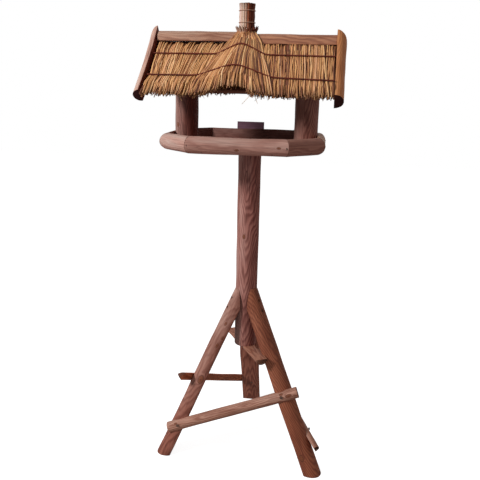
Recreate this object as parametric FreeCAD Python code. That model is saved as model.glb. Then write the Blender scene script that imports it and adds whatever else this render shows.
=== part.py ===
import FreeCAD, Part
import math
import os

# Bird table with a thatched roof on a three-legged stand.
# Millimetres, +Z up, front towards -Y. The pieces are laid out about the middle of the main
# post with the ground at z = 0, and at the end the whole table is moved sideways so that the
# origin lies on the ground under the middle of its outline.

# Main post
post_diameter = 66.0
post_foot_height = 340.0

# Legs: half-round timbers, flat side towards the post. Their flat sides would meet on its axis.
back_leg_width = 63.0
left_leg_width = 58.0
right_leg_width = 63.0
leg_meeting_height = 524.0
back_leg_reach = 250.0
left_leg_reach = 250.0
right_leg_reach = 264.0
leg_seat_depth = 4.0
back_leg_azimuth = 90.0
left_leg_azimuth = 206.3
right_leg_azimuth = 327.5

# Crosspiece under the post
rest_width = 36.0
rest_seat_depth = 3.0
rest_far_end = 120.0
rest_near_end = 130.0
rest_screw_offset = 105.0
rest_screw_drop = 6.0
rest_post_screw_spacing = 30.0

# Braces: half-round, each low on one leg and high on the next, cut and set by eye
brace_seat_depth = 2.0
front_brace_width = 33.0
front_brace_low_height = 94.0
front_brace_high_height = 218.0
front_brace_low_overhang = 36.0
front_brace_high_overhang = 50.0
right_brace_width = 32.0
right_brace_low_height = 104.0
right_brace_high_height = 250.0
right_brace_low_overhang = 66.0
right_brace_high_overhang = 34.0
left_brace_width = 27.0
left_brace_low_height = 92.0
left_brace_high_height = 225.0
left_brace_low_overhang = 26.0
left_brace_high_overhang = 84.0

# Tray
house_shift = -18.0
tray_underside_height = 945.0
floor_thickness = 14.0
rail_height = 45.0
tray_shift = 3.5
tray_inner_length = 411.0
tray_inner_depth = 330.0
tray_corner_cut = 78.0
rail_nail_inset = 34.0
corner_nail_inset = 7.0
corner_nail_angle = 30.0

# Small plate behind the back rail
plate_width = 85.0
plate_height = 64.0
plate_thickness = 3.0
plate_rise = 20.0
plate_shift = -5.0
plate_screw_spacing = 50.0

# House posts and roof boards
house_post_diameter = 66.0
house_post_clearance = 0.5
roof_pitch = 45.0
roof_apex_above_floor = 277.0
roof_length = 494.0
board_thickness = 12.0
board_length = 180.0
board_screw_drop = 26.0
roof_screw_offset = 10.0

# Verge logs and ridge cap, all half-round
verge_width = 54.0
verge_end_width = 42.0
front_verge_length = 210.0
back_verge_length = 192.0
verge_screw_first = 45.0
verge_screw_second = 150.0
cap_width = 54.0
cap_groove_depth = 4.0
cap_inner_screw_inset = 40.0

# Thatch
thatch_top_start = 24.0
thatch_top_thickness = 15.0
thatch_eave_thickness = 26.0
thatch_length = 205.0
bundle_count = 26
bundle_crown = 3.0
tip_tooth = 6.0
tip_waver = 3.5
eyebrow_top_half_width = 30.0
eyebrow_half_width = 78.0
eyebrow_rise = 36.0

# Fan of long reeds below the chimney
fan_start = -14.0
fan_skew = 0.09
fan_underside = 12.0
fan_top_half_width = 34.0
fan_spread = 0.325
fan_edge_thickness = 5.0
fan_tip_overhang = 3.0
fan_side_setback = 1.0
fan_tip_count = 13
fan_tip_lean = 0.55

# Chimney bundle, its collar and its wire ties
chimney_diameter = 44.0
chimney_top_above_apex = 101.0
chimney_reeds = 16
reed_crown = 1.6
collar_foot_above_apex = 26.0
collar_top_above_apex = 40.0
collar_foot_diameter = 52.0
collar_top_diameter = 67.0
collar_notch = 5.0
collar_points = 22
tie_wire = 2.0
upper_tie_drop = 18.0
lower_tie_rise = 12.0

# Sways: thin rods over the thatch, and the wire staples that hold them
sway_diameter = 4.0
lower_sway_drop = 156.0
lower_sway_rise = 29.0
lower_sway_half_width = 98.0
upper_sway_drop = 70.0
upper_sway_rise = 28.0
upper_sway_half_width = 66.0
lower_sway_droop = 9.0
upper_sway_droop = 2.0
sway_press = 0.6
rounded_share = 0.77
staple_wire = 1.4
staple_depth = 20.0
staple_spacing = 52.0
staples_per_side = 3
staple_first = 112.0

# Screws and nails
screw_diameter = 4.5
screw_head_diameter = 9.0
screw_head_height = 2.6
screw_sink = 1.2
leg_screw_length = 60.0
leg_screw_drops = (61.0, 32.0)
brace_screw_length = 48.0
rest_screw_length = 66.0
post_screw_length = 70.0
floor_screw_spacing = 36.0
house_post_screw_length = 60.0
board_screw_length = 40.0
verge_screw_length = 60.0
cap_screw_length = 80.0
cap_inner_screw_length = 38.0
plate_screw_length = 18.0
nail_diameter = 2.5
nail_head_diameter = 6.0
nail_head_height = 1.0
nail_sink = 0.5
rail_nail_length = 48.0
corner_nail_length = 42.0

# Sizes that follow from the ones above
post_radius = post_diameter / 2
rail_radius = rail_height / 2
rest_radius = rest_width / 2
cap_radius = cap_width / 2
chimney_radius = chimney_diameter / 2
sway_radius = sway_diameter / 2
floor_top_height = tray_underside_height + floor_thickness
house_post_reach = tray_inner_length / 2 - house_post_clearance - house_post_diameter / 2
rail_middle_height = tray_underside_height + rail_radius
pitch = math.radians(roof_pitch)
roof_apex_height = floor_top_height + roof_apex_above_floor
cap_flat_height = roof_apex_height - cap_groove_depth
cap_gap = chimney_diameter
collar_foot_height = roof_apex_height + collar_foot_above_apex
collar_top_height = roof_apex_height + collar_top_above_apex
chimney_top_height = roof_apex_height + chimney_top_above_apex
fan_side_length = thatch_length - fan_side_setback
fan_tip_length = thatch_length - eyebrow_rise + fan_tip_overhang
leg_azimuths = {
    "leg_back": back_leg_azimuth,
    "leg_left": left_leg_azimuth,
    "leg_right": right_leg_azimuth,
}
leg_widths = {
    "leg_back": back_leg_width,
    "leg_left": left_leg_width,
    "leg_right": right_leg_width,
}
leg_foot_reaches = {
    "leg_back": back_leg_reach,
    "leg_left": left_leg_reach,
    "leg_right": right_leg_reach,
}
UP = FreeCAD.Vector(0, 0, 1)
DOWN = FreeCAD.Vector(0, 0, -1)
RIGHT = FreeCAD.Vector(1, 0, 0)
ORIGIN = FreeCAD.Vector(0, 0, 0)


def point(x, y, z):
    return FreeCAD.Vector(x, y, z)


def towards(azimuth):
    """Level unit vector at an angle from +X."""
    angle = math.radians(azimuth)
    return point(math.cos(angle), math.sin(angle), 0)


def unit(vector):
    return vector / vector.Length


def half_round_outline(middle, axis, out, width):
    """Section of a half-round timber: the middle of its flat side, its run and its round side."""
    side = axis.cross(out) * (width / 2)
    arc = Part.Arc(middle - side, middle + out * (width / 2), middle + side).toShape()
    return Part.Wire([arc, Part.makeLine(middle + side, middle - side)])


def half_round(start, end, out, width):
    """Half-round timber. The middle of its flat side runs from start to end, its round side faces out."""
    outline = half_round_outline(start, unit(end - start), out, width)
    return Part.Face(outline).extrude(end - start)


def prism(corners, sweep):
    """Straight prism over a flat outline."""
    return Part.Face(Part.makePolygon(corners + [corners[0]])).extrude(sweep)


def screw(head, aim, length):
    """Countersunk screw: the flat of its head is at head, and it is driven along aim."""
    cone = Part.makeCone(screw_head_diameter / 2, screw_diameter / 2, screw_head_height, head, aim)
    shank_start = head + aim * screw_head_height
    shank = Part.makeCylinder(screw_diameter / 2, length - screw_head_height, shank_start, aim)
    return cone.fuse(shank)


def screw_room(head, aim, length):
    """What a screw takes out of the wood: its own shape and a short way in for its head."""
    mouth = head - aim * screw_head_diameter
    way_in = Part.makeCylinder(screw_head_diameter / 2, screw_head_diameter, mouth, aim)
    return screw(head, aim, length).fuse(way_in)


def nail(head, aim, length):
    """Flat-headed nail with the top of its head at head."""
    disc = Part.makeCylinder(nail_head_diameter / 2, nail_head_height, head, aim)
    shank_start = head + aim * nail_head_height
    shank = Part.makeCylinder(nail_diameter / 2, length - nail_head_height, shank_start, aim)
    return disc.fuse(shank)


def nail_room(head, aim, length):
    mouth = head - aim * nail_head_diameter
    way_in = Part.makeCylinder(nail_head_diameter / 2, nail_head_diameter, mouth, aim)
    return nail(head, aim, length).fuse(way_in)


def drilled(shape, fasteners, room):
    """The shape with the room of every fastener that reaches it taken out."""
    for fastener in fasteners:
        tool = room(*fastener)
        if tool.BoundBox.intersect(shape.BoundBox):
            shape = shape.cut(tool)
    return shape


def group(shapes):
    return Part.makeCompound(shapes)


# Legs

def leg_lean(name):
    return math.atan(leg_foot_reaches[name] / leg_meeting_height)


def leg_reach(name, height):
    """Level distance from the post's middle to a leg's flat side at a height above the ground."""
    return leg_foot_reaches[name] * (1 - height / leg_meeting_height)


def leg_line(name, height):
    """Point on the middle of a leg's flat side at a height above the ground."""
    return towards(leg_azimuths[name]) * leg_reach(name, height) + UP * height


def leg(name):
    lean = leg_lean(name)
    azimuth = leg_azimuths[name]
    width = leg_widths[name]
    out = towards(azimuth) * math.cos(lean) + UP * math.sin(lean)
    top_height = leg_meeting_height + width / math.tan(lean)
    blank = half_round(leg_line(name, -width), leg_line(name, top_height), out, width)
    seat = post_radius - leg_seat_depth
    length = leg_foot_reaches[name] + 2 * width
    room = Part.makeBox(length, 2 * width, top_height, point(seat, -width, 0))
    room.rotate(ORIGIN, UP, azimuth)
    return blank.common(room).cut(Part.makeCylinder(post_radius, top_height))


def leg_screw_places():
    places = []
    for name, azimuth in leg_azimuths.items():
        for drop in leg_screw_drops:
            height = leg_meeting_height - drop
            crown = leg_reach(name, height) + leg_widths[name] / 2 / math.cos(leg_lean(name))
            head = towards(azimuth) * (crown - 2 * screw_sink) + UP * height
            places.append((head, -towards(azimuth), leg_screw_length))
    return places


# Braces

def brace_out(low_leg, high_leg):
    """Outward normal of the plane through the middle lines of two legs."""
    low_run = leg_line(low_leg, 0) - leg_line(low_leg, post_foot_height)
    high_run = leg_line(high_leg, 0) - leg_line(high_leg, post_foot_height)
    out = unit(low_run.cross(high_run))
    if out.dot(towards(leg_azimuths[low_leg])) < 0:
        out = -out
    return out


def brace_ends(low_leg, high_leg, low_height, high_height):
    """Middle of a brace's flat side where it crosses its two legs."""
    out = brace_out(low_leg, high_leg)
    low = leg_line(low_leg, low_height) + out * (leg_widths[low_leg] / 2 - brace_seat_depth)
    high = leg_line(high_leg, high_height) + out * (leg_widths[high_leg] / 2 - brace_seat_depth)
    return low, high


def brace(legs, width, heights, overhangs):
    low, high = brace_ends(*legs, *heights)
    run = unit(high - low)
    return half_round(low - run * overhangs[0], high + run * overhangs[1], brace_out(*legs), width)


def brace_screws_for(legs, width, heights):
    out = brace_out(*legs)
    heads = [crossing + out * (width / 2 - screw_sink) for crossing in brace_ends(*legs, *heights)]
    return [(head, -out, brace_screw_length) for head in heads]


front_brace_legs = ("leg_left", "leg_right")
front_brace_heights = (front_brace_low_height, front_brace_high_height)
front_brace_overhangs = (front_brace_low_overhang, front_brace_high_overhang)
right_brace_legs = ("leg_right", "leg_back")
right_brace_heights = (right_brace_low_height, right_brace_high_height)
right_brace_overhangs = (right_brace_low_overhang, right_brace_high_overhang)
left_brace_legs = ("leg_back", "leg_left")
left_brace_heights = (left_brace_low_height, left_brace_high_height)
left_brace_overhangs = (left_brace_low_overhang, left_brace_high_overhang)


def brace_screw_places():
    return (
        brace_screws_for(front_brace_legs, front_brace_width, front_brace_heights)
        + brace_screws_for(right_brace_legs, right_brace_width, right_brace_heights)
        + brace_screws_for(left_brace_legs, left_brace_width, left_brace_heights)
    )


# Crosspiece under the post, between the right leg and the back leg

right_side = towards(right_leg_azimuth - 90) * (right_leg_width / 2)
back_side = towards(back_leg_azimuth + 90) * (back_leg_width / 2)
right_corner = leg_line("leg_right", post_foot_height) + right_side
back_corner = leg_line("leg_back", post_foot_height) + back_side
rest_along = unit(right_corner - back_corner)
rest_across = UP.cross(rest_along)
rest_edge = right_corner.dot(rest_across) + rest_seat_depth
rest_middle = rest_across * (rest_edge - rest_radius) + UP * post_foot_height


def post_rest():
    start = rest_middle - rest_along * rest_far_end
    end = rest_middle + rest_along * rest_near_end
    return half_round(start, end, DOWN, rest_width)


def rest_screw_places():
    places = []
    half_width = math.sqrt(rest_radius ** 2 - rest_screw_drop ** 2)
    for offset in (-rest_screw_offset, rest_screw_offset):
        head = rest_middle + rest_along * offset + DOWN * rest_screw_drop
        head = head - rest_across * (half_width - 2 * screw_sink)
        places.append((head, rest_across, rest_screw_length))
    for offset in (-rest_post_screw_spacing / 2, rest_post_screw_spacing / 2):
        head = rest_middle + rest_along * offset + DOWN * (rest_radius - screw_sink)
        places.append((head, UP, post_screw_length))
    return places


# Tray

def tray_corners(grow, height):
    """Corners of the tray's inner outline, moved outwards by grow, round from the front right."""
    x = tray_inner_length / 2 + grow
    y = tray_inner_depth / 2 + grow
    cut = tray_corner_cut + grow * (2 - math.sqrt(2))
    outline = [
        (x - cut, -y), (x, cut - y), (x, y - cut), (x - cut, y),
        (cut - x, y), (-x, y - cut), (-x, cut - y), (cut - x, -y),
    ]
    return [point(house_shift + tray_shift + across, deep, height) for across, deep in outline]


def tray_floor():
    return prism(tray_corners(0, tray_underside_height), UP * floor_thickness)


rail_names = (
    "rail_front_right", "rail_end_right", "rail_back_right", "rail_back",
    "rail_back_left", "rail_end_left", "rail_front_left", "rail_front",
)
main_rails = ("rail_front", "rail_end_right", "rail_back", "rail_end_left")


def rail_frame(index):
    """Inner corners of one rail at the height of its middle, its direction and the way out of the tray."""
    corners = tray_corners(0, rail_middle_height)
    first = corners[index]
    second = corners[(index + 1) % len(corners)]
    run = unit(second - first)
    return first, second, run, run.cross(UP)


def rail(index):
    first, second, run, out = rail_frame(index)
    blank = half_round(first - run * rail_height, second + run * rail_height, out, rail_height)
    inner = tray_corners(0, tray_underside_height)
    outer = tray_corners(rail_height, tray_underside_height)
    following = (index + 1) % len(inner)
    mitres = [inner[index], inner[following], outer[following], outer[index]]
    return blank.common(prism(mitres, UP * rail_height))


def rail_nail_places():
    places = []
    drop = rail_radius - floor_thickness / 2
    bulge = math.sqrt(rail_radius ** 2 - drop ** 2)
    for index in range(len(rail_names)):
        first, second, run, out = rail_frame(index)
        for foot in (first + run * rail_nail_inset, second - run * rail_nail_inset):
            head = foot + out * (bulge - 2 * nail_sink) + DOWN * drop
            places.append((head, -out, rail_nail_length))
    return places


def corner_nail_places():
    """One nail across each mitre, from the outside of a main rail into its neighbour."""
    places = []
    angle = math.radians(corner_nail_angle)
    outer = tray_corners(rail_radius - nail_sink, rail_middle_height)
    for index, name in enumerate(rail_names):
        if name in main_rails:
            first, second, run, out = rail_frame(index)
            aim = -out * math.cos(angle) - run * math.sin(angle)
            places.append((outer[index] + run * corner_nail_inset, aim, corner_nail_length))
            following = outer[(index + 1) % len(outer)]
            aim = -out * math.cos(angle) + run * math.sin(angle)
            places.append((following - run * corner_nail_inset, aim, corner_nail_length))
    return places


def tray_floor_screw_places():
    """Screws through the floor into the top of the post."""
    places = []
    half = floor_screw_spacing / 2
    for across, deep in ((-half, -half), (half, -half), (half, half), (-half, half)):
        places.append((point(across, deep, floor_top_height), DOWN, post_screw_length))
    return places


# Plate behind the back rail

plate_front = tray_inner_depth / 2 + rail_radius


def rear_plate():
    left = house_shift + plate_shift - plate_width / 2
    bottom = tray_underside_height + rail_height + plate_rise - plate_height
    return Part.makeBox(plate_width, plate_thickness, plate_height, point(left, plate_front, bottom))


def plate_screw_places():
    places = []
    for offset in (-plate_screw_spacing / 2, plate_screw_spacing / 2):
        head = point(house_shift + plate_shift + offset, plate_front + plate_thickness, rail_middle_height)
        places.append((head, point(0, -1, 0), plate_screw_length))
    return places


# Roof. A place on a slope is given by its distance down from the apex along the top of the
# boards and its height square to them. The front slope has side -1 and the back slope +1.

def on_slope(side, x, down, height):
    y = side * (down * math.cos(pitch) + height * math.sin(pitch))
    z = roof_apex_height - down * math.sin(pitch) + height * math.cos(pitch)
    return point(house_shift + x, y, z)


def slope_out(side):
    return point(0, side * math.sin(pitch), math.cos(pitch))


def slope_down(side):
    return point(0, side * math.cos(pitch), -math.sin(pitch))


def side_room(side, height):
    """Everything on one side of the ridge, up to a height."""
    reach = 2 * thatch_length
    start = point(house_shift - roof_length, 0 if side > 0 else -reach, 0)
    return Part.makeBox(2 * roof_length, reach, height, start)


def attic():
    """The space under the roof boards."""
    peak = roof_apex_height - board_thickness / math.cos(pitch)
    reach = house_post_diameter
    low = peak - reach * math.tan(pitch)
    left = house_shift - roof_length / 2
    outline = [point(left, -reach, low), point(left, 0, peak), point(left, reach, low)]
    outline = outline + [point(left, reach, floor_top_height), point(left, -reach, floor_top_height)]
    return prism(outline, RIGHT * roof_length)


def house_post_place(hand):
    """Each post stands close against its own end of the tray."""
    return tray_shift + hand * house_post_reach


def house_post(hand):
    foot = point(house_shift + house_post_place(hand), 0, floor_top_height)
    blank = Part.makeCylinder(house_post_diameter / 2, roof_apex_height - floor_top_height, foot)
    return blank.common(attic())


def house_post_screw_places():
    places = []
    for hand in (-1, 1):
        for offset in (-floor_screw_spacing / 2, floor_screw_spacing / 2):
            x = house_shift + house_post_place(hand)
            places.append((point(x, offset, tray_underside_height), UP, house_post_screw_length))
    return places


def roof_board(side):
    half = roof_length / 2
    under_apex = board_thickness * math.tan(pitch)
    outline = [
        on_slope(side, -half, 0, 0),
        on_slope(side, -half, board_length, 0),
        on_slope(side, -half, board_length, -board_thickness),
        on_slope(side, -half, under_apex, -board_thickness),
    ]
    return prism(outline, RIGHT * roof_length)


def board_screw_places():
    places = []
    for side in (-1, 1):
        for hand in (-1, 1):
            x = house_post_place(hand) - hand * roof_screw_offset
            head = on_slope(side, x, board_screw_drop, 0)
            places.append((head, -slope_out(side), board_screw_length))
    return places


def verge_length(side):
    return back_verge_length if side > 0 else front_verge_length


def verge_width_at(side, down):
    """The log is full at the ridge and slimmer at its lower end."""
    return verge_width + (verge_end_width - verge_width) * down / verge_length(side)


def verge(side, hand):
    outlines = []
    for down in (-verge_width, verge_length(side)):
        middle = on_slope(side, hand * roof_length / 2, down, 0)
        width = verge_width_at(side, down)
        outlines.append(half_round_outline(middle, slope_down(side), RIGHT * hand, width))
    blank = Part.makeLoft(outlines, True, True)
    return blank.common(side_room(side, roof_apex_height + 2 * verge_width))


def verge_screw_places():
    places = []
    for side in (-1, 1):
        for hand in (-1, 1):
            for drop in (verge_screw_first, verge_screw_second):
                below = board_thickness / 2
                radius = verge_width_at(side, drop) / 2
                bulge = math.sqrt(radius ** 2 - below ** 2) - screw_sink
                head = on_slope(side, hand * (roof_length / 2 + bulge), drop, -below)
                places.append((head, RIGHT * -hand, verge_screw_length))
    return places


def ridge_cap(hand):
    """One half of the cap. The chimney bundle stands in the gap between the two."""
    inner = point(house_shift + hand * cap_gap / 2, 0, cap_flat_height)
    outer = point(house_shift + hand * roof_length / 2, 0, cap_flat_height)
    bar = half_round(inner, outer, UP, cap_width)
    for side in (-1, 1):
        bar = bar.cut(roof_board(side))
    return bar


def cap_screw_places():
    """An outer screw into the house post and an inner one into the ridge of the boards."""
    places = []
    top = cap_flat_height + cap_radius - screw_sink
    for hand in (-1, 1):
        x = house_shift + house_post_place(hand) + hand * roof_screw_offset
        places.append((point(x, 0, top), DOWN, cap_screw_length))
        x = house_shift + hand * (cap_gap / 2 + cap_inner_screw_inset)
        places.append((point(x, 0, top), DOWN, cap_inner_screw_length))
    return places


# Thatch

def thatch_thickness(down):
    share = (down - thatch_top_start) / (thatch_length - thatch_top_start)
    return thatch_top_thickness + (thatch_eave_thickness - thatch_top_thickness) * share


bundle_width = roof_length / bundle_count


def bundle_edge(index):
    return -roof_length / 2 + index * bundle_width


def thatch_section(side, down):
    """Outline of the reed layer across the slope: flat below, one low crown for each bundle."""
    thickness = thatch_thickness(down)
    edges = []
    for index in range(bundle_count):
        crown = bundle_crown * (1 + 0.3 * math.sin(2.4 * index))
        left = on_slope(side, bundle_edge(index), down, thickness)
        middle = on_slope(side, bundle_edge(index + 0.5), down, thickness + crown)
        right = on_slope(side, bundle_edge(index + 1), down, thickness)
        edges.append(Part.Arc(left, middle, right).toShape())
    half = roof_length / 2
    corners = [
        on_slope(side, half, down, thickness), on_slope(side, half, down, 0),
        on_slope(side, -half, down, 0), on_slope(side, -half, down, thickness),
    ]
    for first, second in zip(corners, corners[1:]):
        edges.append(Part.makeLine(first, second))
    return Part.Wire(edges)


def fan_middle(down):
    """Middle of the fan, the sway crests and the raised eave. It drifts to the left down the slope."""
    return -fan_skew * (down - fan_start)


def eyebrow(x):
    """1 along the flat top of the raised eave, falling smoothly to 0 at its half width."""
    beyond = abs(x - fan_middle(thatch_length)) - eyebrow_top_half_width
    flank = eyebrow_half_width - eyebrow_top_half_width
    share = min(max(beyond / flank, 0.0), 1.0)
    return math.cos(math.pi * share / 2) ** 2


def thatch_outline(side):
    """Outline of the reed layer seen square to the slope, with a toothed eave that rises in the middle."""
    half = roof_length / 2
    below = -1.0
    outline = [on_slope(side, half, 0, below), on_slope(side, -half, 0, below)]
    for index in range(bundle_count):
        for place, tooth in ((index, tip_tooth), (index + 0.5, 0)):
            x = bundle_edge(place)
            tip = thatch_length + tip_waver * math.sin(2.1 * index) - tooth
            outline.append(on_slope(side, x, tip - eyebrow_rise * eyebrow(x), below))
    outline.append(on_slope(side, half, thatch_length - tip_tooth, below))
    return outline


def thatch(side):
    reach = thatch_length + 2 * tip_waver
    sections = [thatch_section(side, thatch_top_start), thatch_section(side, reach)]
    layer = Part.makeLoft(sections, True, True)
    return layer.common(prism(thatch_outline(side), slope_out(side) * 3 * thatch_eave_thickness))


# Fan of long reeds

def fan_half_width(down):
    return fan_top_half_width + (down - fan_start) * fan_spread


def sway_level(down):
    """Height of a sway's middle above the boards, pressed a little into the reed crowns."""
    return thatch_thickness(down) + bundle_crown + sway_radius - sway_press


def sway_crest(down, rise):
    """Where a sway passes over the middle of the fan: its way down the slope and its height."""
    return down - rise * math.sin(pitch), sway_level(down) + rise * math.cos(pitch)


upper_crest_down, upper_crest_level = sway_crest(upper_sway_drop, upper_sway_rise)
lower_crest_down, lower_crest_level = sway_crest(lower_sway_drop, lower_sway_rise)


def fan_crest(down):
    """Height of the fan's middle line, which runs straight and close under both sways."""
    slope = (lower_crest_level - upper_crest_level) / (lower_crest_down - upper_crest_down)
    return upper_crest_level - sway_radius + sway_press + (down - upper_crest_down) * slope


def rounded_run(corners, ends):
    """Edges of straight runs along the corners, joined by large tangent arcs.

    A peak that is rounded so keeps the rounded share of its rise.
    """
    edges = []
    start = corners[0]
    for before, corner, after in zip(corners, corners[1:], corners[2:]):
        back = unit(before - corner)
        on = unit(after - corner)
        tangent = 0.45 * min((before - corner).Length, (after - corner).Length)
        half_turn_here = (math.pi - back.getAngle(on)) / 2
        radius = tangent / math.tan(half_turn_here)
        middle = corner + unit(back + on) * (radius / math.cos(half_turn_here) - radius)
        edges.append(Part.makeLine(start, corner + back * tangent))
        edges.append(Part.Arc(corner + back * tangent, middle, corner + on * tangent).toShape())
        start = corner + on * tangent
    edges.append(Part.makeLine(start, corners[-1]))
    return edges + ends


def fan_section(side, down):
    middle = fan_middle(down)
    half = fan_half_width(down)
    foot = thatch_thickness(max(down, thatch_top_start)) + fan_edge_thickness
    left = on_slope(side, middle - half, down, foot)
    right = on_slope(side, middle + half, down, foot)
    under_left = on_slope(side, middle - half, down, fan_underside)
    under_right = on_slope(side, middle + half, down, fan_underside)
    ends = [Part.makeLine(right, under_right), Part.makeLine(under_right, under_left)]
    ends.append(Part.makeLine(under_left, left))
    peak = on_slope(side, middle, down, foot + (fan_crest(down) - foot) / rounded_share)
    return Part.Wire(rounded_run([left, peak, right], ends))


def fan_outline(side):
    half = fan_half_width(fan_side_length)
    left = fan_middle(fan_side_length) - half
    right = left + 2 * half
    outline = [on_slope(side, right, 2 * fan_start, 0), on_slope(side, left, 2 * fan_start, 0)]
    step = 2 * half / fan_tip_count
    for index in range(fan_tip_count):
        for place, tooth in ((index, tip_tooth), (index + 0.5, 0)):
            x = left + place * step
            tip = fan_side_length - (fan_side_length - fan_tip_length) * eyebrow(x)
            outline.append(on_slope(side, x, tip - tooth, 0))
    outline.append(on_slope(side, right, fan_side_length - tip_tooth, 0))
    return outline


def fan(side, neighbours):
    reach = fan_side_length + 2 * thatch_eave_thickness
    body = Part.makeLoft([fan_section(side, fan_start), fan_section(side, reach)], True, True)
    sweep = (slope_out(side) + slope_down(side) * fan_tip_lean) * (3 * fan_crest(reach))
    body = body.common(prism(fan_outline(side), sweep))
    body = body.common(side_room(side, roof_apex_height + 2 * verge_width))
    for neighbour in neighbours:
        body = body.cut(neighbour)
    return body


# Chimney

def ring_of_reeds(radius, count, crown, height):
    """Closed outline of reeds side by side round the chimney's middle."""
    edges = []
    step = 360.0 / count
    for index in range(count):
        start = towards(index * step) * (radius - crown)
        middle = towards((index + 0.5) * step) * radius
        end = towards((index + 1) * step) * (radius - crown)
        shift = point(house_shift, 0, height)
        edges.append(Part.Arc(start + shift, middle + shift, end + shift).toShape())
    return Part.Wire(edges)


def chimney_bundle():
    """Standing reeds that straddle the ridge in the gap of the cap."""
    foot_height = roof_apex_height - chimney_diameter * math.tan(pitch)
    left = house_shift - chimney_diameter
    above_boards = [
        point(left, -chimney_diameter, foot_height), point(left, 0, roof_apex_height),
        point(left, chimney_diameter, foot_height), point(left, chimney_diameter, chimney_top_height),
        point(left, -chimney_diameter, chimney_top_height),
    ]
    outline = ring_of_reeds(chimney_radius, chimney_reeds, reed_crown, foot_height)
    bundle = Part.Face(outline).extrude(UP * (chimney_top_height - foot_height))
    bundle = bundle.common(prism(above_boards, RIGHT * 2 * chimney_diameter))
    for hand in (-1, 1):
        bundle = bundle.cut(ridge_cap(hand))
    return bundle


def star(radius, notch, height):
    corners = []
    for index in range(2 * collar_points):
        reach = radius - (notch if index % 2 else 0)
        corners.append(towards(index * 180.0 / collar_points) * reach + point(house_shift, 0, height))
    return Part.makePolygon(corners + [corners[0]])


def chimney_collar(bundle):
    foot = star(collar_foot_diameter / 2, collar_notch / 5, collar_foot_height)
    top = star(collar_top_diameter / 2, collar_notch, collar_top_height)
    return Part.makeLoft([foot, top], True, True).cut(bundle)


def chimney_ties():
    ties = []
    for height in (collar_top_height + lower_tie_rise, chimney_top_height - upper_tie_drop):
        middle = point(house_shift, 0, height)
        ties.append(Part.makeTorus(chimney_radius + tie_wire / 4, tie_wire / 2, middle, UP))
    return group(ties)


# Sways and their staples

def sway_point(side, x, down, droop):
    """A sway lies level to the left of the ridge's middle and droops evenly towards its right end."""
    here = down + droop * max(0.0, 2 * x / roof_length)
    return on_slope(side, x, here, sway_level(here))


def sway_path(side, down, rise, half_width, droop):
    half = roof_length / 2
    middle = fan_middle(down - rise * math.sin(pitch))
    places = (-half, middle - half_width, middle, middle + half_width, half)
    corners = [sway_point(side, x, down, droop) for x in places]
    corners[2] = corners[2] + UP * (rise / rounded_share)
    return corners


def sway(side, down, rise, half_width, droop):
    corners = sway_path(side, down, rise, half_width, droop)
    path = Part.Wire(rounded_run(corners, []))
    section = Part.Wire(Part.makeCircle(sway_radius, corners[0], RIGHT))
    rod = path.makePipeShell([section], True, False)
    print("sway volume over section times length:", rod.Volume / (math.pi * sway_radius ** 2 * path.Length))
    return rod


def staple(side, middle):
    """Wire bent over a sway, with both legs down into the thatch."""
    out = slope_out(side)
    along = slope_down(side)
    reach = sway_radius + staple_wire / 2
    upper = middle + along * -reach
    lower = middle + along * reach
    legs = out * -staple_depth
    bend = Part.Arc(upper, middle + out * reach, lower).toShape()
    path = Part.Wire([Part.makeLine(upper + legs, upper), bend, Part.makeLine(lower, lower + legs)])
    section = Part.Wire(Part.makeCircle(staple_wire / 2, upper + legs, out))
    return path.makePipeShell([section], True, False)


def staples(side, down, droop):
    wires = []
    for hand in (-1, 1):
        for index in range(staples_per_side):
            x = hand * (staple_first + index * staple_spacing)
            wires.append(staple(side, sway_point(side, x, down, droop)))
    return wires


# Everything together

leg_screws = leg_screw_places()
brace_screws = brace_screw_places()
rest_screws = rest_screw_places()
floor_screws = tray_floor_screw_places()
plate_screws = plate_screw_places()
post_screws = house_post_screw_places()
board_screws = board_screw_places()
verge_screws = verge_screw_places()
cap_screws = cap_screw_places()
rail_nails = rail_nail_places()
corner_nails = corner_nail_places()

pieces = {}

post = Part.makeCylinder(post_radius, tray_underside_height - post_foot_height, UP * post_foot_height)
pieces["post"] = drilled(post, leg_screws + rest_screws + floor_screws, screw_room)

braces = {
    "brace_front": brace(front_brace_legs, front_brace_width, front_brace_heights, front_brace_overhangs),
    "brace_right": brace(right_brace_legs, right_brace_width, right_brace_heights, right_brace_overhangs),
    "brace_left": brace(left_brace_legs, left_brace_width, left_brace_heights, left_brace_overhangs),
}
bare_legs = {name: leg(name) for name in leg_azimuths}
for name, shape in bare_legs.items():
    for other in braces.values():
        shape = shape.cut(other)
    pieces[name] = drilled(shape, leg_screws + brace_screws + rest_screws, screw_room)
for name, shape in braces.items():
    pieces[name] = drilled(shape, brace_screws, screw_room)
rest = post_rest()
for shape in bare_legs.values():
    rest = rest.cut(shape)
pieces["post_rest"] = drilled(rest, rest_screws, screw_room)

pieces["tray_floor"] = drilled(
    drilled(tray_floor(), floor_screws + post_screws, screw_room), rail_nails, nail_room
)
for index, name in enumerate(rail_names):
    shape = drilled(rail(index), rail_nails + corner_nails, nail_room)
    pieces[name] = drilled(shape, plate_screws, screw_room)
pieces["rear_plate"] = drilled(rear_plate(), plate_screws, screw_room)

for name, hand in (("house_post_left", -1), ("house_post_right", 1)):
    pieces[name] = drilled(house_post(hand), post_screws + board_screws + cap_screws, screw_room)
sides = {"front": -1, "back": 1}
hands = {"left": -1, "right": 1}
for side_name, side in sides.items():
    shape = roof_board(side)
    pieces["roof_board_" + side_name] = drilled(shape, board_screws + verge_screws + cap_screws, screw_room)
    for hand_name, hand in hands.items():
        pieces["verge_" + side_name + "_" + hand_name] = drilled(verge(side, hand), verge_screws, screw_room)
caps = {"ridge_cap_" + hand_name: ridge_cap(hand) for hand_name, hand in hands.items()}
for name, shape in caps.items():
    pieces[name] = drilled(shape, cap_screws, screw_room)

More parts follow.
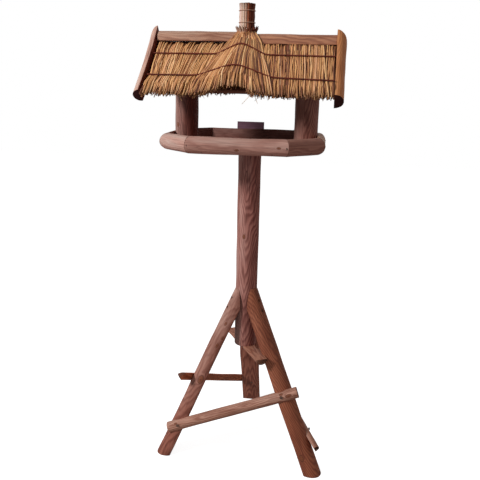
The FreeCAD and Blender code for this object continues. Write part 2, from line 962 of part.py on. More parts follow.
bundle = chimney_bundle()
ties = chimney_ties()
collar = chimney_collar(bundle)
pieces["chimney_bundle"] = bundle.cut(ties)
pieces["chimney_collar"] = collar
pieces["chimney_ties"] = ties

all_staples = []
for side_name, side in sides.items():
    lower = sway(side, lower_sway_drop, lower_sway_rise, lower_sway_half_width, lower_sway_droop)
    upper = sway(side, upper_sway_drop, upper_sway_rise, upper_sway_half_width, upper_sway_droop)
    wires = staples(side, lower_sway_drop, lower_sway_droop)
    wires = wires + staples(side, upper_sway_drop, upper_sway_droop)
    layer = thatch(side)
    spread = fan(side, list(caps.values()) + [layer, bundle, collar])
    for tool in [lower, upper] + wires:
        layer = layer.cut(tool)
        spread = spread.cut(tool)
    pieces["thatch_" + side_name] = layer
    pieces["thatch_fan_" + side_name] = spread
    pieces["sway_" + side_name + "_lower"] = lower
    pieces["sway_" + side_name + "_upper"] = upper
    all_staples = all_staples + wires
pieces["sway_staples"] = group(all_staples)

pieces["leg_screws"] = group([screw(*place) for place in leg_screws])
pieces["brace_screws"] = group([screw(*place) for place in brace_screws])
pieces["post_rest_screws"] = group([screw(*place) for place in rest_screws])
pieces["tray_floor_screws"] = group([screw(*place) for place in floor_screws])
pieces["rear_plate_screws"] = group([screw(*place) for place in plate_screws])
pieces["house_post_screws"] = group([screw(*place) for place in post_screws])
pieces["roof_board_screws"] = group([screw(*place) for place in board_screws])
pieces["verge_screws"] = group([screw(*place) for place in verge_screws])
pieces["ridge_cap_screws"] = group([screw(*place) for place in cap_screws])
pieces["rail_nails"] = group([nail(*place) for place in rail_nails])
pieces["tray_corner_nails"] = group([nail(*place) for place in corner_nails])

# Move the table so that the origin is on the ground under the middle of its outline
whole = group(list(pieces.values())).optimalBoundingBox(False, False)
shift = point(-(whole.XMin + whole.XMax) / 2, -(whole.YMin + whole.YMax) / 2, 0)
print("overall size:", whole.XLength, whole.YLength, whole.ZLength, "lowest point:", whole.ZMin)
print("post axis at:", shift.x, shift.y, " middle of the house at:", shift.x + house_shift)

os.makedirs("parts", exist_ok=True)
for name, shape in pieces.items():
    shape.translate(shift)
    print(name, "solids:", len(shape.Solids), "valid:", shape.isValid(), "volume:", round(shape.Volume))
    shape.exportStep("parts/" + name + ".step")
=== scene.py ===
import math
import random

import bpy
import numpy as np
from mathutils import Matrix, Vector, noise


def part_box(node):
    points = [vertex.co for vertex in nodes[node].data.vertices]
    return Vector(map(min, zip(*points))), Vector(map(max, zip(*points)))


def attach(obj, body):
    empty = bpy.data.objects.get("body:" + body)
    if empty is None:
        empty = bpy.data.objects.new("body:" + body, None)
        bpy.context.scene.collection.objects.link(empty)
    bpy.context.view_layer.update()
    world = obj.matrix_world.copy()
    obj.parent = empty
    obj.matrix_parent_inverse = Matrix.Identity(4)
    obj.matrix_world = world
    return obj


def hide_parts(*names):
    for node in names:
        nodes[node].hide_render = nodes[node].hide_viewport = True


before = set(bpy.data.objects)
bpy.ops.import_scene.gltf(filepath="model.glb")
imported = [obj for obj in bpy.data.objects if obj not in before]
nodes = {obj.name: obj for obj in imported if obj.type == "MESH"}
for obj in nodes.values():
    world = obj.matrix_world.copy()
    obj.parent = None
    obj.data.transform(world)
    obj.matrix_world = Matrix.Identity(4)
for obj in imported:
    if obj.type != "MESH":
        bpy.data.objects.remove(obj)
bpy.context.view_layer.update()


# Main post
# One peeled softwood log, stained reddish brown and weathered, with a painted sheen on the side that
# faces the key lamp. The tray is screwed to its top, and its foot hangs free between the legs.

SAWN = 1
GRAIN = "grain"
LAMP_SHEEN = "lamp_sheen"
# Painted sheen: this points at the key lamp, and wood that faces it is painted paler and greyer.
lamp_sheen_side = np.array((-0.76, -0.36, 0.54))
grain_apart = 3.7
most_cuts = 100


def pick(piece):
    """Selects one piece alone."""
    bpy.ops.object.select_all(action="DESELECT")
    piece.select_set(True)
    bpy.context.view_layer.objects.active = piece


def log_blank(name, diameter, length, sides):
    """Round log standing on the origin, its skin divided into near-square faces."""
    bpy.ops.object.select_all(action="DESELECT")
    bpy.ops.mesh.primitive_cylinder_add(vertices=sides, radius=diameter / 2, depth=length,
                                        location=(0, 0, length / 2))
    blank = bpy.context.object
    blank.name = blank.data.name = name
    bpy.ops.object.transform_apply(location=True, rotation=True, scale=True)
    for part in (*blank.data.polygons, *blank.data.vertices):
        part.select = False
    for edge in blank.data.edges:
        foot, head = [blank.data.vertices[i].co.z for i in edge.vertices]
        edge.select = abs(foot - head) > length / 2
    spacing = math.pi * diameter / sides
    bpy.context.tool_settings.mesh_select_mode = (False, True, False)
    bpy.ops.object.mode_set(mode="EDIT")
    bpy.ops.mesh.subdivide(number_cuts=min(most_cuts, round(length / spacing)))
    bpy.ops.object.mode_set(mode="OBJECT")
    return blank


def saw(blank, place, out, sawn=SAWN):
    """Cuts off what lies beyond a plane and closes the cut, which gets its own material slot."""
    pick(blank)
    bpy.ops.object.mode_set(mode="EDIT")
    bpy.ops.mesh.select_mode(type="FACE")
    bpy.ops.mesh.select_all(action="SELECT")
    bpy.ops.mesh.bisect(plane_co=place, plane_no=out, use_fill=True, clear_outer=True)
    bpy.ops.object.mode_set(mode="OBJECT")
    for face in blank.data.polygons:
        if face.select:
            face.material_index = sawn


def saw_square(blank, length):
    """Trims both ends, so that they show end grain."""
    saw(blank, (0, 0, 0), (0, 0, -1))
    saw(blank, (0, 0, length), (0, 0, 1))


def lay_grain(blank, seed):
    """Keeps each point's place in the log, so that rings and fibres follow the timber."""
    co = np.array([v.co for v in blank.data.vertices])
    co[:, 2] += seed * grain_apart
    blank.data.attributes.new(GRAIN, "FLOAT_VECTOR", "POINT").data.foreach_set("vector", co.ravel())


def level(azimuth):
    """Level unit vector at an angle from +X."""
    return Vector((math.cos(math.radians(azimuth)), math.sin(math.radians(azimuth)), 0))


def wear(blank, seed, bow=0.0, ripple=0.0006, lumps=()):
    """Bends a blank a little, ripples its skin along the grain and raises a lump at each knot."""
    height = max(v.co.z for v in blank.data.vertices)
    turn = seed * 2.4
    for vertex in blank.data.vertices:
        x, y, z = vertex.co
        out = Vector((x, y, 0)).normalized()
        slow = noise.noise(Vector((x * 14, y * 14, z * 7 + seed * 5.1)))
        fine = noise.noise(Vector((x * 60, y * 60, z * 18 + seed * 9.3)))
        lift = ripple * (1.6 * slow + fine)
        for angle, place, size in lumps:
            if out.dot(level(angle)) > 0:
                reach = math.hypot(Vector((x, y, 0)).cross(level(angle)).length, 0.7 * (z - place)) / size
                lift += 0.2 * size * math.exp(-reach * reach)
        swing = math.sin(math.pi * z / height)
        bend = bow * swing * noise.noise(Vector((seed * 2.7, 0.4, z * 3.0)))
        vertex.co = Vector((x + bend * math.cos(turn), y + bend * math.sin(turn), z)) + out * lift


def place_timber(blank, start, along, out):
    """Lays a blank in its place: its Z axis along the timber, its Y axis towards the round side."""
    along = Vector(along).normalized()
    out = (Vector(out) - along * Vector(out).dot(along)).normalized()
    turn = Matrix((out.cross(along), out, along)).transposed().to_4x4()
    pick(blank)
    blank.matrix_world = Matrix.Translation(start) @ turn
    bpy.ops.object.transform_apply(location=True, rotation=True, scale=True)


def finish_timber(blank, skin, ends, replaced, flat=None, darkened=False):
    """Gives a timber its materials, soft arrises and a smooth skin, marks the side that faces the key lamp
    for a painted sheen, which fades out towards the foot when darkened is set, and lets it stand for its
    solid."""
    for finish in (skin, ends, flat or skin):
        blank.data.materials.append(finish)
    pick(blank)
    arris = blank.modifiers.new("arris", "BEVEL")
    arris.width = 0.0008
    arris.segments = 2
    arris.limit_method = "ANGLE"
    arris.angle_limit = math.radians(50)
    bpy.ops.object.modifier_apply(modifier=arris.name)
    lamp_facing = np.array([v.normal for v in blank.data.vertices]) @ lamp_sheen_side
    # With darkened set, the painted sheen fades out towards the foot.
    if darkened:
        lamp_facing *= np.clip([3.2 * v.co.z - 0.3 for v in blank.data.vertices], 0, 1)
    blank.data.attributes.new(LAMP_SHEEN, "FLOAT", "POINT").data.foreach_set("value", lamp_facing)
    bpy.ops.object.shade_smooth_by_angle(angle=math.radians(40))
    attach(blank, "root")
    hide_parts(replaced)


class Finish:
    """A material or a sky while its steps are put together."""

    def __init__(self, made):
        made.use_nodes = True
        self.made = made
        self.tree = made.node_tree
        self.shader = self.tree.nodes.get("Principled BSDF")

    def feed(self, socket, value):
        """Links a socket to another one, or sets it to a number, a vector or a colour."""
        if isinstance(value, bpy.types.NodeSocket):
            self.tree.links.new(value, socket)
        else:
            socket.default_value = (*value, 1) if socket.type == "RGBA" else value

    def step(self, kind, values, **settings):
        new = self.tree.nodes.new("ShaderNode" + kind)
        for key, value in settings.items():
            setattr(new, key, value)
        for socket, value in values.items():
            self.feed(new.inputs[socket], value)
        return new

    def attribute(self, name, output="Fac"):
        return self.step("Attribute", {}, attribute_name=name).outputs[output]

    def own_place(self):
        return self.step("TexCoord", {}).outputs["Object"]

    def parts(self, vector, kind="SeparateXYZ"):
        return self.step(kind, {0: vector}).outputs[:3]

    def maths(self, operation, *values):
        return self.step("Math", dict(enumerate(values)), operation=operation).outputs[0]

    def cloud(self, vector, scale=1.0, detail=2.0, roughness=0.5, output="Fac"):
        values = {"Vector": vector, "Scale": scale, "Detail": detail, "Roughness": roughness}
        return self.step("TexNoise", values).outputs[output]

    def span(self, value, low, high, first=0.0, last=1.0):
        """Lets what runs from low to high run from first to last."""
        values = {"Value": value, "From Min": low, "From Max": high, "To Min": first, "To Max": last}
        return self.step("MapRange", values).outputs[0]

    def ramp(self, value, stops):
        """Runs through the colours, or levels of grey, of the stops as the value rises."""
        new = self.step("ValToRGB", {"Fac": value})
        elements = new.color_ramp.elements
        elements[0].position = stops[0][0]
        elements[1].position = stops[-1][0]
        for position, _ in stops[1:-1]:
            elements.new(position)
        for element, (_, tone) in zip(elements, stops):
            element.color = (*tone, 1) if isinstance(tone, tuple) else (tone, tone, tone, 1)
        return new.outputs["Color"]

    def blend(self, share, first, second, mode="MIX"):
        return self.step("Mix", {0: share, 6: first, 7: second}, data_type="RGBA", blend_type=mode).outputs[2]

    def dress(self, colour, roughness, specular=0.5, relief=None, strength=0.55, depth=0.0012):
        """Hands colour, roughness, gloss and a relief too fine to model to the material's shader."""
        values = {"Base Color": colour, "Roughness": roughness, "Specular IOR Level": specular}
        if relief:
            bump = self.step("Bump", {"Strength": strength, "Distance": depth, "Height": relief})
            values["Normal"] = bump.outputs["Normal"]
        for socket, value in values.items():
            self.feed(self.shader.inputs[socket], value)
        return self.made


def wood(name, pale, deep, ring=0.003, pith=(0.004, -0.018), taper=0.2, knots=(), sheen_strength=0.75,
         contrast=1.0, sheen_colour=(0.41, 0.26, 0.225), red_below=None, sawn_board=False):
    """Stained softwood. Rings are cones round a wavering pith, so the skin shows long pointed arches."""
    mix = Finish(bpy.data.materials.new(name))
    maths, blend, ramp = mix.maths, mix.blend, mix.ramp
    if sawn_board:
        x, y, z = mix.parts(mix.own_place())
        grain = mix.step("CombineXYZ", {0: y, 1: z, 2: x}).outputs[0]
    else:
        grain = mix.attribute(GRAIN, "Vector")

    def stretched(scale, shift=(0, 0, 0)):
        return mix.step("Mapping", {"Vector": grain, "Scale": scale, "Location": shift}).outputs[0]

    split = mix.parts(grain)
    sway = mix.parts(mix.cloud(stretched((16, 16, 5)), detail=1.0, output="Color"), kind="SeparateColor")
    across = maths("ADD", maths("MULTIPLY_ADD", sway[0], 0.010, split[0]), -pith[0] - 0.005)
    inwards = maths("ADD", maths("MULTIPLY_ADD", sway[1], 0.02, split[1]), -pith[1] - 0.01)
    squares = maths("ADD", maths("MULTIPLY", across, across), maths("MULTIPLY", inwards, inwards))
    pointed = maths("MULTIPLY_ADD", maths("ABSOLUTE", across), -0.4, maths("SQRT", squares))
    cone = maths("MULTIPLY_ADD", split[2], taper, pointed)
    uneven = mix.cloud(stretched((34, 34, 13), (5.5, 0.3, 2.8)))
    phase = maths("MULTIPLY_ADD", uneven, 2.6, maths("DIVIDE", cone, ring))
    knot_total = None
    for x, y, z, size in knots:
        gap = mix.step("VectorMath", {0: stretched((1, 1, 0.6)), 1: (x, y, 0.6 * z)}, operation="DISTANCE")
        far = maths("POWER", maths("DIVIDE", gap.outputs["Value"], size), 2)
        near = maths("POWER", math.e, maths("MULTIPLY", far, -1))
        knot_total = maths("ADD", knot_total, near) if knot_total else near
    if knots:
        phase = maths("MULTIPLY_ADD", knot_total, 4.0, phase)
    latewood = ramp(maths("FRACT", phase), ((0.0, 0.1), (0.3, 0.25), (0.62, 1.0), (0.8, 0.85), (1.0, 0.1)))
    fibres = mix.cloud(stretched((520, 520, 16)), detail=3.0, roughness=0.6)
    blotches = mix.cloud(stretched((17, 17, 6), (3.1, 1.7, 0.4)), detail=3.0)
    patches = mix.cloud(stretched((48, 48, 9), (1.3, 4.2, 2.2)))
    middle = tuple((a + b) / 2 for a, b in zip(pale, deep))
    colour = blend(maths("MULTIPLY", latewood, 0.85 * contrast), pale, deep)
    colour = blend(ramp(blotches, ((0.45, 0.0), (0.75, 0.4))), colour, middle)
    streaks = ramp(patches, ((0.48, 0.0), (0.72, 0.6 * contrast)))
    colour = blend(streaks, colour, tuple(0.8 * c for c in deep))
    # Painted sheen: the side that faces the key lamp is blended, in patches, towards a paler, greyer colour.
    lamp_facing = mix.span(mix.attribute(LAMP_SHEEN), -0.1, 0.95)
    painted_sheen = blend(maths("MULTIPLY", latewood, 0.45 * contrast), sheen_colour, middle)
    sheen_patches = maths("MULTIPLY", ramp(patches, ((0.38, 1.0), (0.64, 0.35))), lamp_facing)
    colour = blend(maths("MULTIPLY", sheen_patches, sheen_strength), colour, painted_sheen)
    colour = blend(0.8, colour, ramp(fibres, ((0.3, 0.66), (0.55, 1.0), (0.75, 1.12))), mode="MULTIPLY")
    crack_cloud = mix.cloud(stretched((95, 95, 3.2), (0.7, 0.2, 5.0)))
    crack_zone = mix.cloud(stretched((9, 9, 2.4), (2.2, 0.9, 1.0)), detail=1.0)
    crack_line = ramp(maths("ABSOLUTE", maths("SUBTRACT", crack_cloud, 0.5)), ((0.0, 1.0), (0.012, 0.0)))
    cracks = maths("MULTIPLY", crack_line, ramp(crack_zone, ((0.5, 0.0), (0.62, 1.0))))
    colour = blend(maths("MULTIPLY", cracks, 0.8), colour, tuple(0.3 * c for c in deep))
    if knots:
        rings = ramp(maths("FRACT", maths("MULTIPLY", knot_total, 5.0)),
                     ((0.0, (0.28, 0.09, 0.04)), (1.0, (0.07, 0.018, 0.01))))
        colour = blend(ramp(knot_total, ((0.2, 0.0), (0.42, 0.75), (0.8, 0.9))), colour, rings)
        rim = ramp(knot_total, ((0.24, 0.0), (0.34, 1.0), (0.46, 0.0)))
        colour = blend(maths("MULTIPLY", rim, 0.75), colour, (0.02, 0.009, 0.007))
    if red_below is not None:
        low = mix.span(maths("MULTIPLY_ADD", sway[2], 0.02, split[0]), red_below + 0.006, red_below - 0.006)
        colour = blend(maths("MULTIPLY", low, 0.55), colour, (0.62, 0.3, 0.22), mode="MULTIPLY")
    roughness = ramp(maths("MULTIPLY_ADD", latewood, 0.25, fibres), ((0.2, 0.8), (0.9, 0.55)))
    relief = maths("MULTIPLY_ADD", latewood, 0.35, maths("MULTIPLY_ADD", cracks, -1.6, fibres))
    return mix.dress(colour, roughness, specular=0.16, relief=relief)


def end_grain(name, pale, deep, ring=0.0026, pith=(0.009, 0.004)):
    """Sawn end: rings round the pith and short drying cracks that run in to it."""
    mix = Finish(bpy.data.materials.new(name))
    centre = mix.step("Mapping", {"Vector": mix.attribute(GRAIN, "Vector"), "Scale": (1, 1, 0.02),
                                  "Location": (-pith[0], -pith[1], 0)}).outputs[0]
    rings = mix.step("TexWave", {"Vector": centre, "Scale": 0.314 / ring, "Distortion": 2.2,
                                 "Detail": 2.0, "Detail Scale": 0.12}, wave_type="RINGS", rings_direction="Z")
    turn = mix.step("TexGradient", {"Vector": centre}, gradient_type="RADIAL").outputs["Fac"]
    checks = mix.step("TexNoise", {"W": turn, "Scale": 26.0, "Detail": 1.0}, noise_dimensions="1D")
    tone = mix.ramp(rings.outputs["Fac"], ((0.0, deep), (1.0, pale)))
    cracks = mix.ramp(checks.outputs["Fac"], ((0.3, 0.0), (0.36, 1.0)))
    colour = mix.blend(0.7, tone, cracks, mode="MULTIPLY")
    return mix.dress(colour, 0.88, specular=0.1, relief=colour, strength=0.6, depth=0.001)


post_low, post_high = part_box("post")
post_axis = (post_low + post_high) / 2
post_diameter = post_high.x - post_low.x
post_length = post_high.z - post_low.z
post_wood = wood("post_wood", (0.48, 0.175, 0.135), (0.11, 0.018, 0.013), ring=0.0044,
                 pith=(-0.005, 0.024), taper=0.125, sheen_strength=0.9,
                 knots=((-0.008, -0.032, 0.35, 0.004), (0.03, 0.012, 0.52, 0.007)))
log_ends = end_grain("log_ends", (0.15, 0.045, 0.03), (0.06, 0.014, 0.01))
post = log_blank("main_post", post_diameter, post_length, sides=40)
lay_grain(post, seed=0)
wear(post, seed=1, ripple=0.0007)
saw_square(post, post_length)
place_timber(post, (post_axis.x, post_axis.y, post_low.z), (0, 0, 1), (0, 1, 0))
finish_timber(post, post_wood, log_ends, "post")


# Legs
# Three half-round timbers with their flat sides towards the post. Their tops are sawn upright and
# hollowed to fit the post, and their feet are sawn level.

FLAT = 2
leg_meeting_height = 0.524
leg_seat = post_diameter / 2 - 0.004
leg_screw_heights = (0.463, 0.492)
leg_screw_sink = 0.0024
leg_deep = (0.14, 0.032, 0.018)
legs = (
    ("leg_back", 90, 0.250, 0.063, ((0.012, 0.02, 0.2, 0.007),),
     {"pale": (0.42, 0.145, 0.09), "ring": 0.0027, "pith": (0.0, -0.016), "taper": 0.03, "sheen_strength": 0.6}),
    ("leg_left", 206.3, 0.250, 0.058,
     ((-0.022, 0.019, 0.461, 0.0035), (-0.0275, 0.009, 0.416, 0.003), (-0.025, 0.0145, 0.388, 0.0036),
      (-0.025, 0.0145, 0.270, 0.0075)),
     {"pale": (0.31, 0.1, 0.065), "pith": (0.012, -0.01), "taper": 0.05, "sheen_strength": 0.9,
      "sheen_colour": (0.46, 0.305, 0.25)}),
    ("leg_right", 327.5, 0.264, 0.063, ((0.027, 0.012, 0.06, 0.006),),
     {"pale": (0.36, 0.112, 0.054), "ring": 0.0024, "pith": (-0.01, -0.014), "taper": 0.1, "sheen_strength": 0.32,
      "sheen_colour": (0.38, 0.19, 0.125)}),
)


def half_log_blank(name, width, length, sides):
    """Half-round timber standing on the origin, flat side at y = 0 and round side towards +Y."""
    blank = log_blank(name, width, length, sides)
    saw(blank, (0, 0, 0), (0, -1, 0), sawn=FLAT)
    return blank


def leg_point(azimuth, reach, height):
    """Point on the middle of a leg's flat side, at a height above the ground."""
    across = level(azimuth) * reach * (1 - height / leg_meeting_height)
    return Vector((post_axis.x, post_axis.y, height)) + across


def in_log(knots, seed, foot=0.0):
    """Knots measured from a timber's foot, moved to that timber's own stretch of the grain."""
    return [(x, y, z + seed * grain_apart + foot, size) for x, y, z, size in knots]


def screw_holes(heads, radius=0.0048, depth=0.009):
    """Cutter for countersunk screw heads: one short drum at each head, along the screw."""
    drums = []
    for head, aim in heads:
        turn = aim.to_track_quat("Z", "Y").to_euler()
        bpy.ops.mesh.primitive_cylinder_add(vertices=20, radius=radius, depth=depth, rotation=turn,
                                            location=head - aim * (depth / 2))
        drums.append(bpy.context.object)
    for drum in drums:
        drum.select_set(True)
    bpy.context.view_layer.objects.active = drums[0]
    bpy.ops.object.join()
    bpy.ops.object.transform_apply(location=True, rotation=True, scale=True)
    return drums[0]


def carve(blank, cutter):
    """Takes the cutter out of the blank, and takes the cutter away."""
    pick(blank)
    cut = blank.modifiers.new("carve", "BOOLEAN")
    cut.operation = "DIFFERENCE"
    cut.solver = "EXACT"
    cut.object = cutter
    bpy.ops.object.modifier_apply(modifier=cut.name)
    bpy.data.objects.remove(cutter)


for seed, (name, azimuth, reach, width, knots, look) in enumerate(legs, start=2):
    lean = math.atan(reach / leg_meeting_height)
    run = (leg_meeting_height + width / math.tan(lean) + width) / math.cos(lean)
    along = (leg_point(azimuth, reach, 1) - leg_point(azimuth, reach, 0)).normalized()
    away = level(azimuth)
    out = away * math.cos(lean) + Vector((0, 0, math.sin(lean)))
    skin = wood(name + "_wood", deep=leg_deep, knots=in_log(knots, seed, foot=width), **look)
    leg = half_log_blank(name + "_timber", width, run, sides=40)
    lay_grain(leg, seed)
    lumps = [(math.degrees(math.atan2(y, x)), z + width, 0.9 * size) for x, y, z, size in knots]
    wear(leg, seed, bow=0.004, ripple=0.0008, lumps=lumps)
    place_timber(leg, leg_point(azimuth, reach, -width), along, out)
    saw(leg, (0, 0, 0), (0, 0, -1))
    saw(leg, Vector((post_axis.x, post_axis.y, 0)) + away * leg_seat, -away)
    bpy.ops.mesh.primitive_cylinder_add(vertices=64, radius=post_diameter / 2, depth=1.0,
                                        location=(post_axis.x, post_axis.y, 0.5))
    carve(leg, bpy.context.object)
    heads = []
    for height in leg_screw_heights:
        crown = reach * (1 - height / leg_meeting_height) + width / 2 / math.cos(lean) - leg_screw_sink
        heads.append((Vector((post_axis.x, post_axis.y, height)) + away * crown, -away))
    carve(leg, screw_holes(heads))
    finish_timber(leg, skin, log_ends, name, darkened=True)


# Rest and braces
# Half-round crosspieces. The rest lies under the post's end between two legs. The braces are paler:
# each is let into two legs and screwed there, and its ends stick out.

brace_pale = (0.52, 0.25, 0.17)
brace_deep = (0.22, 0.065, 0.035)
brace_sheen_colour = (0.5, 0.34, 0.28)
brace_ends = end_grain("brace_ends", (0.2, 0.08, 0.05), (0.09, 0.03, 0.02))
crosspieces = (
    ("post_rest", 0.036, (0.84, 0.78, 0.74), 0.15, ()),
    ("brace_front", 0.033, (1, 1, 1), 0.6,
     ((0.006, 0.0155, 0.375, 0.0035), (-0.004, 0.016, 0.396, 0.005), (0.004, 0.016, 0.03, 0.0028))),
    ("brace_right", 0.032, (1, 1, 1), 0.5, ()),
    # The left brace's tint, redder and darker, paints the shade it lies in at the back.
    ("brace_left", 0.027, (1.05, 0.66, 0.46), 0.1, ()),
)


def slope_frame(name):
    """Corners, middle and main directions of a straight timber, read from its solid."""
    solid = nodes[name]
    points = np.array([solid.matrix_world @ v.co for v in solid.data.vertices])
    middle = points.mean(axis=0)
    _, _, axes = np.linalg.svd(points - middle, full_matrices=False)
    return points, middle, axes


for seed, (name, width, shade, sheen_strength, knots) in enumerate(crosspieces, start=7):
    points, middle, axes = slope_frame(name)
    along = Vector(axes[0])
    if along.x < 0:
        along = -along
    out = Vector((0, 0, -1))
    if name != "post_rest":
        out = Vector(middle) - Vector((post_axis.x, post_axis.y, middle[2]))
        out.z = out.length * 0.48
    out = (out - along * out.dot(along)).normalized()
    reaches = (points - middle) @ np.array(along)
    heights = (points - middle) @ np.array(out)
    sides = (points - middle) @ np.array(out.cross(along))
    start = Vector(middle) + along * reaches.min() + out * heights.min()
    start += out.cross(along) * (sides.min() + sides.max()) / 2
    run = reaches.max() - reaches.min()
    pale, deep = [tuple(s * c for s, c in zip(shade, tone)) for tone in (brace_pale, brace_deep)]
    skin = wood(name + "_wood", pale, deep, pith=(0.004, -0.012), taper=0.03, sheen_strength=sheen_strength,
                sheen_colour=brace_sheen_colour, contrast=1.25 if name == "brace_front" else 1.0,
                knots=in_log(knots, seed))
    piece = half_log_blank(name + "_timber", width, run, sides=32)
    lay_grain(piece, seed)
    wear(piece, seed, bow=0.0015)
    saw_square(piece, run)
    if name == "brace_left":
        for hand in (-1, 1):
            saw(piece, (0, 0, 0.001), (0.8 * hand, 0, -0.6))
    place_timber(piece, start, along, out)
    finish_timber(piece, skin, brace_ends, name)


# Rails
# Eight half-round rails round the edge of the tray, round side outwards, mitred at the corners.
# They are greyish pink on the side that faces the key lamp, a painted sheen, and redder along the lower edge.

rail_names = ("rail_front", "rail_front_left", "rail_front_right", "rail_end_left", "rail_end_right",
              "rail_back_left", "rail_back_right", "rail_back")
rail_spare = 0.005
mitre_gap = 0.0003
rail_lit_colours = ((0.47, 0.22, 0.17), (0.24, 0.085, 0.06), (0.46, 0.335, 0.285))
# Painted shade: the back rails get a darker copy of the rail colours, for the shade under the roof.
rail_painted_shade = ((0.23, 0.085, 0.065), (0.1, 0.024, 0.018), (0.24, 0.15, 0.125))
rail_colours = {
    "rail_front_right": ((0.38, 0.16, 0.115), (0.16, 0.045, 0.03), (0.38, 0.235, 0.19)),
    "rail_end_right": ((0.52, 0.25, 0.14), (0.22, 0.075, 0.04), (0.5, 0.3, 0.2)),
}
rail_knots = {"rail_front": ((-0.008, 0.0205, 0.143, 0.0032), (0.001, 0.0225, 0.252, 0.003))}
tray_low, tray_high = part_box("tray_floor")
tray_middle = (tray_low + tray_high) / 2


def mitre_planes(name, along):
    """The end faces of a rail's solid, as places and directions out of the timber."""
    solid = nodes[name]
    found = {}
    for face in solid.data.polygons:
        out = (solid.matrix_world.to_3x3() @ face.normal).normalized()
        if abs(out.z) < 0.01 and abs(out.dot(along)) > 0.3:
            hand = 1 if out.dot(along) > 0 else -1
            if face.area > found.get(hand, (0,))[0]:
                found[hand] = (face.area, solid.matrix_world @ face.center, out)
    return [(place, out) for _, place, out in found.values()]


for seed, name in enumerate(rail_names, start=11):
    points, middle, axes = slope_frame(name)
    ends = mitre_planes(name, Vector(axes[0]))
    along = Vector((axes[0][0], axes[0][1], 0)).normalized()
    out = Vector((-along.y, along.x, 0))
    if out.dot(Vector(middle) - tray_middle) < 0:
        out = -out
    if out.cross(along).z < 0:
        along = -along
    levels = points[:, 2]
    reaches = (points - middle) @ np.array(along)
    start = Vector(middle) + along * (reaches.min() - rail_spare)
    start += out * ((points @ np.array(out)).min() - start.dot(out))
    start.z = (levels.max() + levels.min()) / 2
    run = reaches.max() - reaches.min() + 2 * rail_spare
    usual = rail_painted_shade if name.startswith("rail_back") else rail_lit_colours
    pale, deep, sheen_colour = rail_colours.get(name, usual)
    skin = wood(name + "_wood", pale, deep, pith=(0.006, -0.01), taper=0.04, red_below=-0.008, sheen_strength=0.95,
                sheen_colour=sheen_colour, contrast=0.7, knots=in_log(rail_knots.get(name, ()), seed))
    rail = half_log_blank(name + "_timber", levels.max() - levels.min(), run, sides=36)
    lay_grain(rail, seed)
    wear(rail, seed, ripple=0.0008)
    place_timber(rail, start, along, out)
    for place, away in ends:
        saw(rail, place - away * mitre_gap, away)
    finish_timber(rail, skin, brace_ends, name)


# House posts
# Two round logs that stand on the tray floor, their tops cut to a wedge under the two boards.

board_low, board_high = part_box("roof_board_front")
board_thickness = 0.012
apex = Vector(((board_low.x + board_high.x) / 2, tray_middle.y, 1.236))
down_run = {"front": Vector((0, -1, -1)).normalized(), "back": Vector((0, 1, -1)).normalized()}
out_of_roof = {"front": Vector((0, -1, 1)).normalized(), "back": Vector((0, 1, 1)).normalized()}
house_posts = (
    # The left post's darker skin paints the shade on its right side, and its strong sheen paints the lit left
    # side.
    ("house_post_left", ((-0.02, -0.025, 0.05, 0.004),),
     {"pale": (0.25, 0.055, 0.034), "deep": (0.07, 0.009, 0.006), "pith": (0.006, 0.019), "sheen_strength": 0.85,
      "sheen_colour": (0.46, 0.32, 0.275)}),
    ("house_post_right", ((0.006, -0.032, 0.16, 0.008),),
     {"pale": (0.44, 0.18, 0.13), "deep": (0.09, 0.014, 0.009), "pith": (-0.006, 0.019), "sheen_strength": 0.7,
      "sheen_colour": (0.4, 0.24, 0.2)}),
)
for seed, (name, knots, look) in enumerate(house_posts, start=20):
    low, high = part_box(name)
    middle = (low + high) / 2
    skin = wood(name + "_wood", taper=0.1, knots=in_log(knots, seed), **look)
    log = log_blank(name + "_timber", high.x - low.x, high.z - low.z + 0.01, sides=48)
    lay_grain(log, seed)
    wear(log, seed, ripple=0.0007)
    saw(log, (0, 0, 0), (0, 0, -1))
    place_timber(log, (middle.x, middle.y, low.z), (0, 0, 1), (0, 1, 0))
    for side in ("front", "back"):
        saw(log, apex - out_of_roof[side] * board_thickness, out_of_roof[side])
    finish_timber(log, skin, log_ends, name)


# Verges
# Half-round logs on the gable ends, flat side inwards, mitred at the ridge and slimmer lower down.
# The left ones are paler and greyer, with a strong painted sheen on the side that faces the key lamp, and the
# right ones are orange. The left front one splays out.

verge_width = 0.054
verge_end_width = 0.042
verge_tilt = 0.2
verge_flare = 0.0135
verge_names = ("verge_front_left", "verge_front_right", "verge_back_left", "verge_back_right")
# The third colour of each pair is the painted sheen on the side that faces the key lamp.
verge_colours = {-1: ((0.52, 0.26, 0.18), (0.2, 0.06, 0.04), (0.58, 0.45, 0.38)),
                 1: ((0.62, 0.22, 0.075), (0.29, 0.08, 0.028), (0.64, 0.34, 0.15))}
# Painted shade: the flat inner sides of the verges get a near-black red material for the shade they lie in.
inside_painted_shade = wood("inside_painted_shade", (0.21, 0.037, 0.018), (0.09, 0.014, 0.008), ring=0.0027, sheen_strength=0.1)
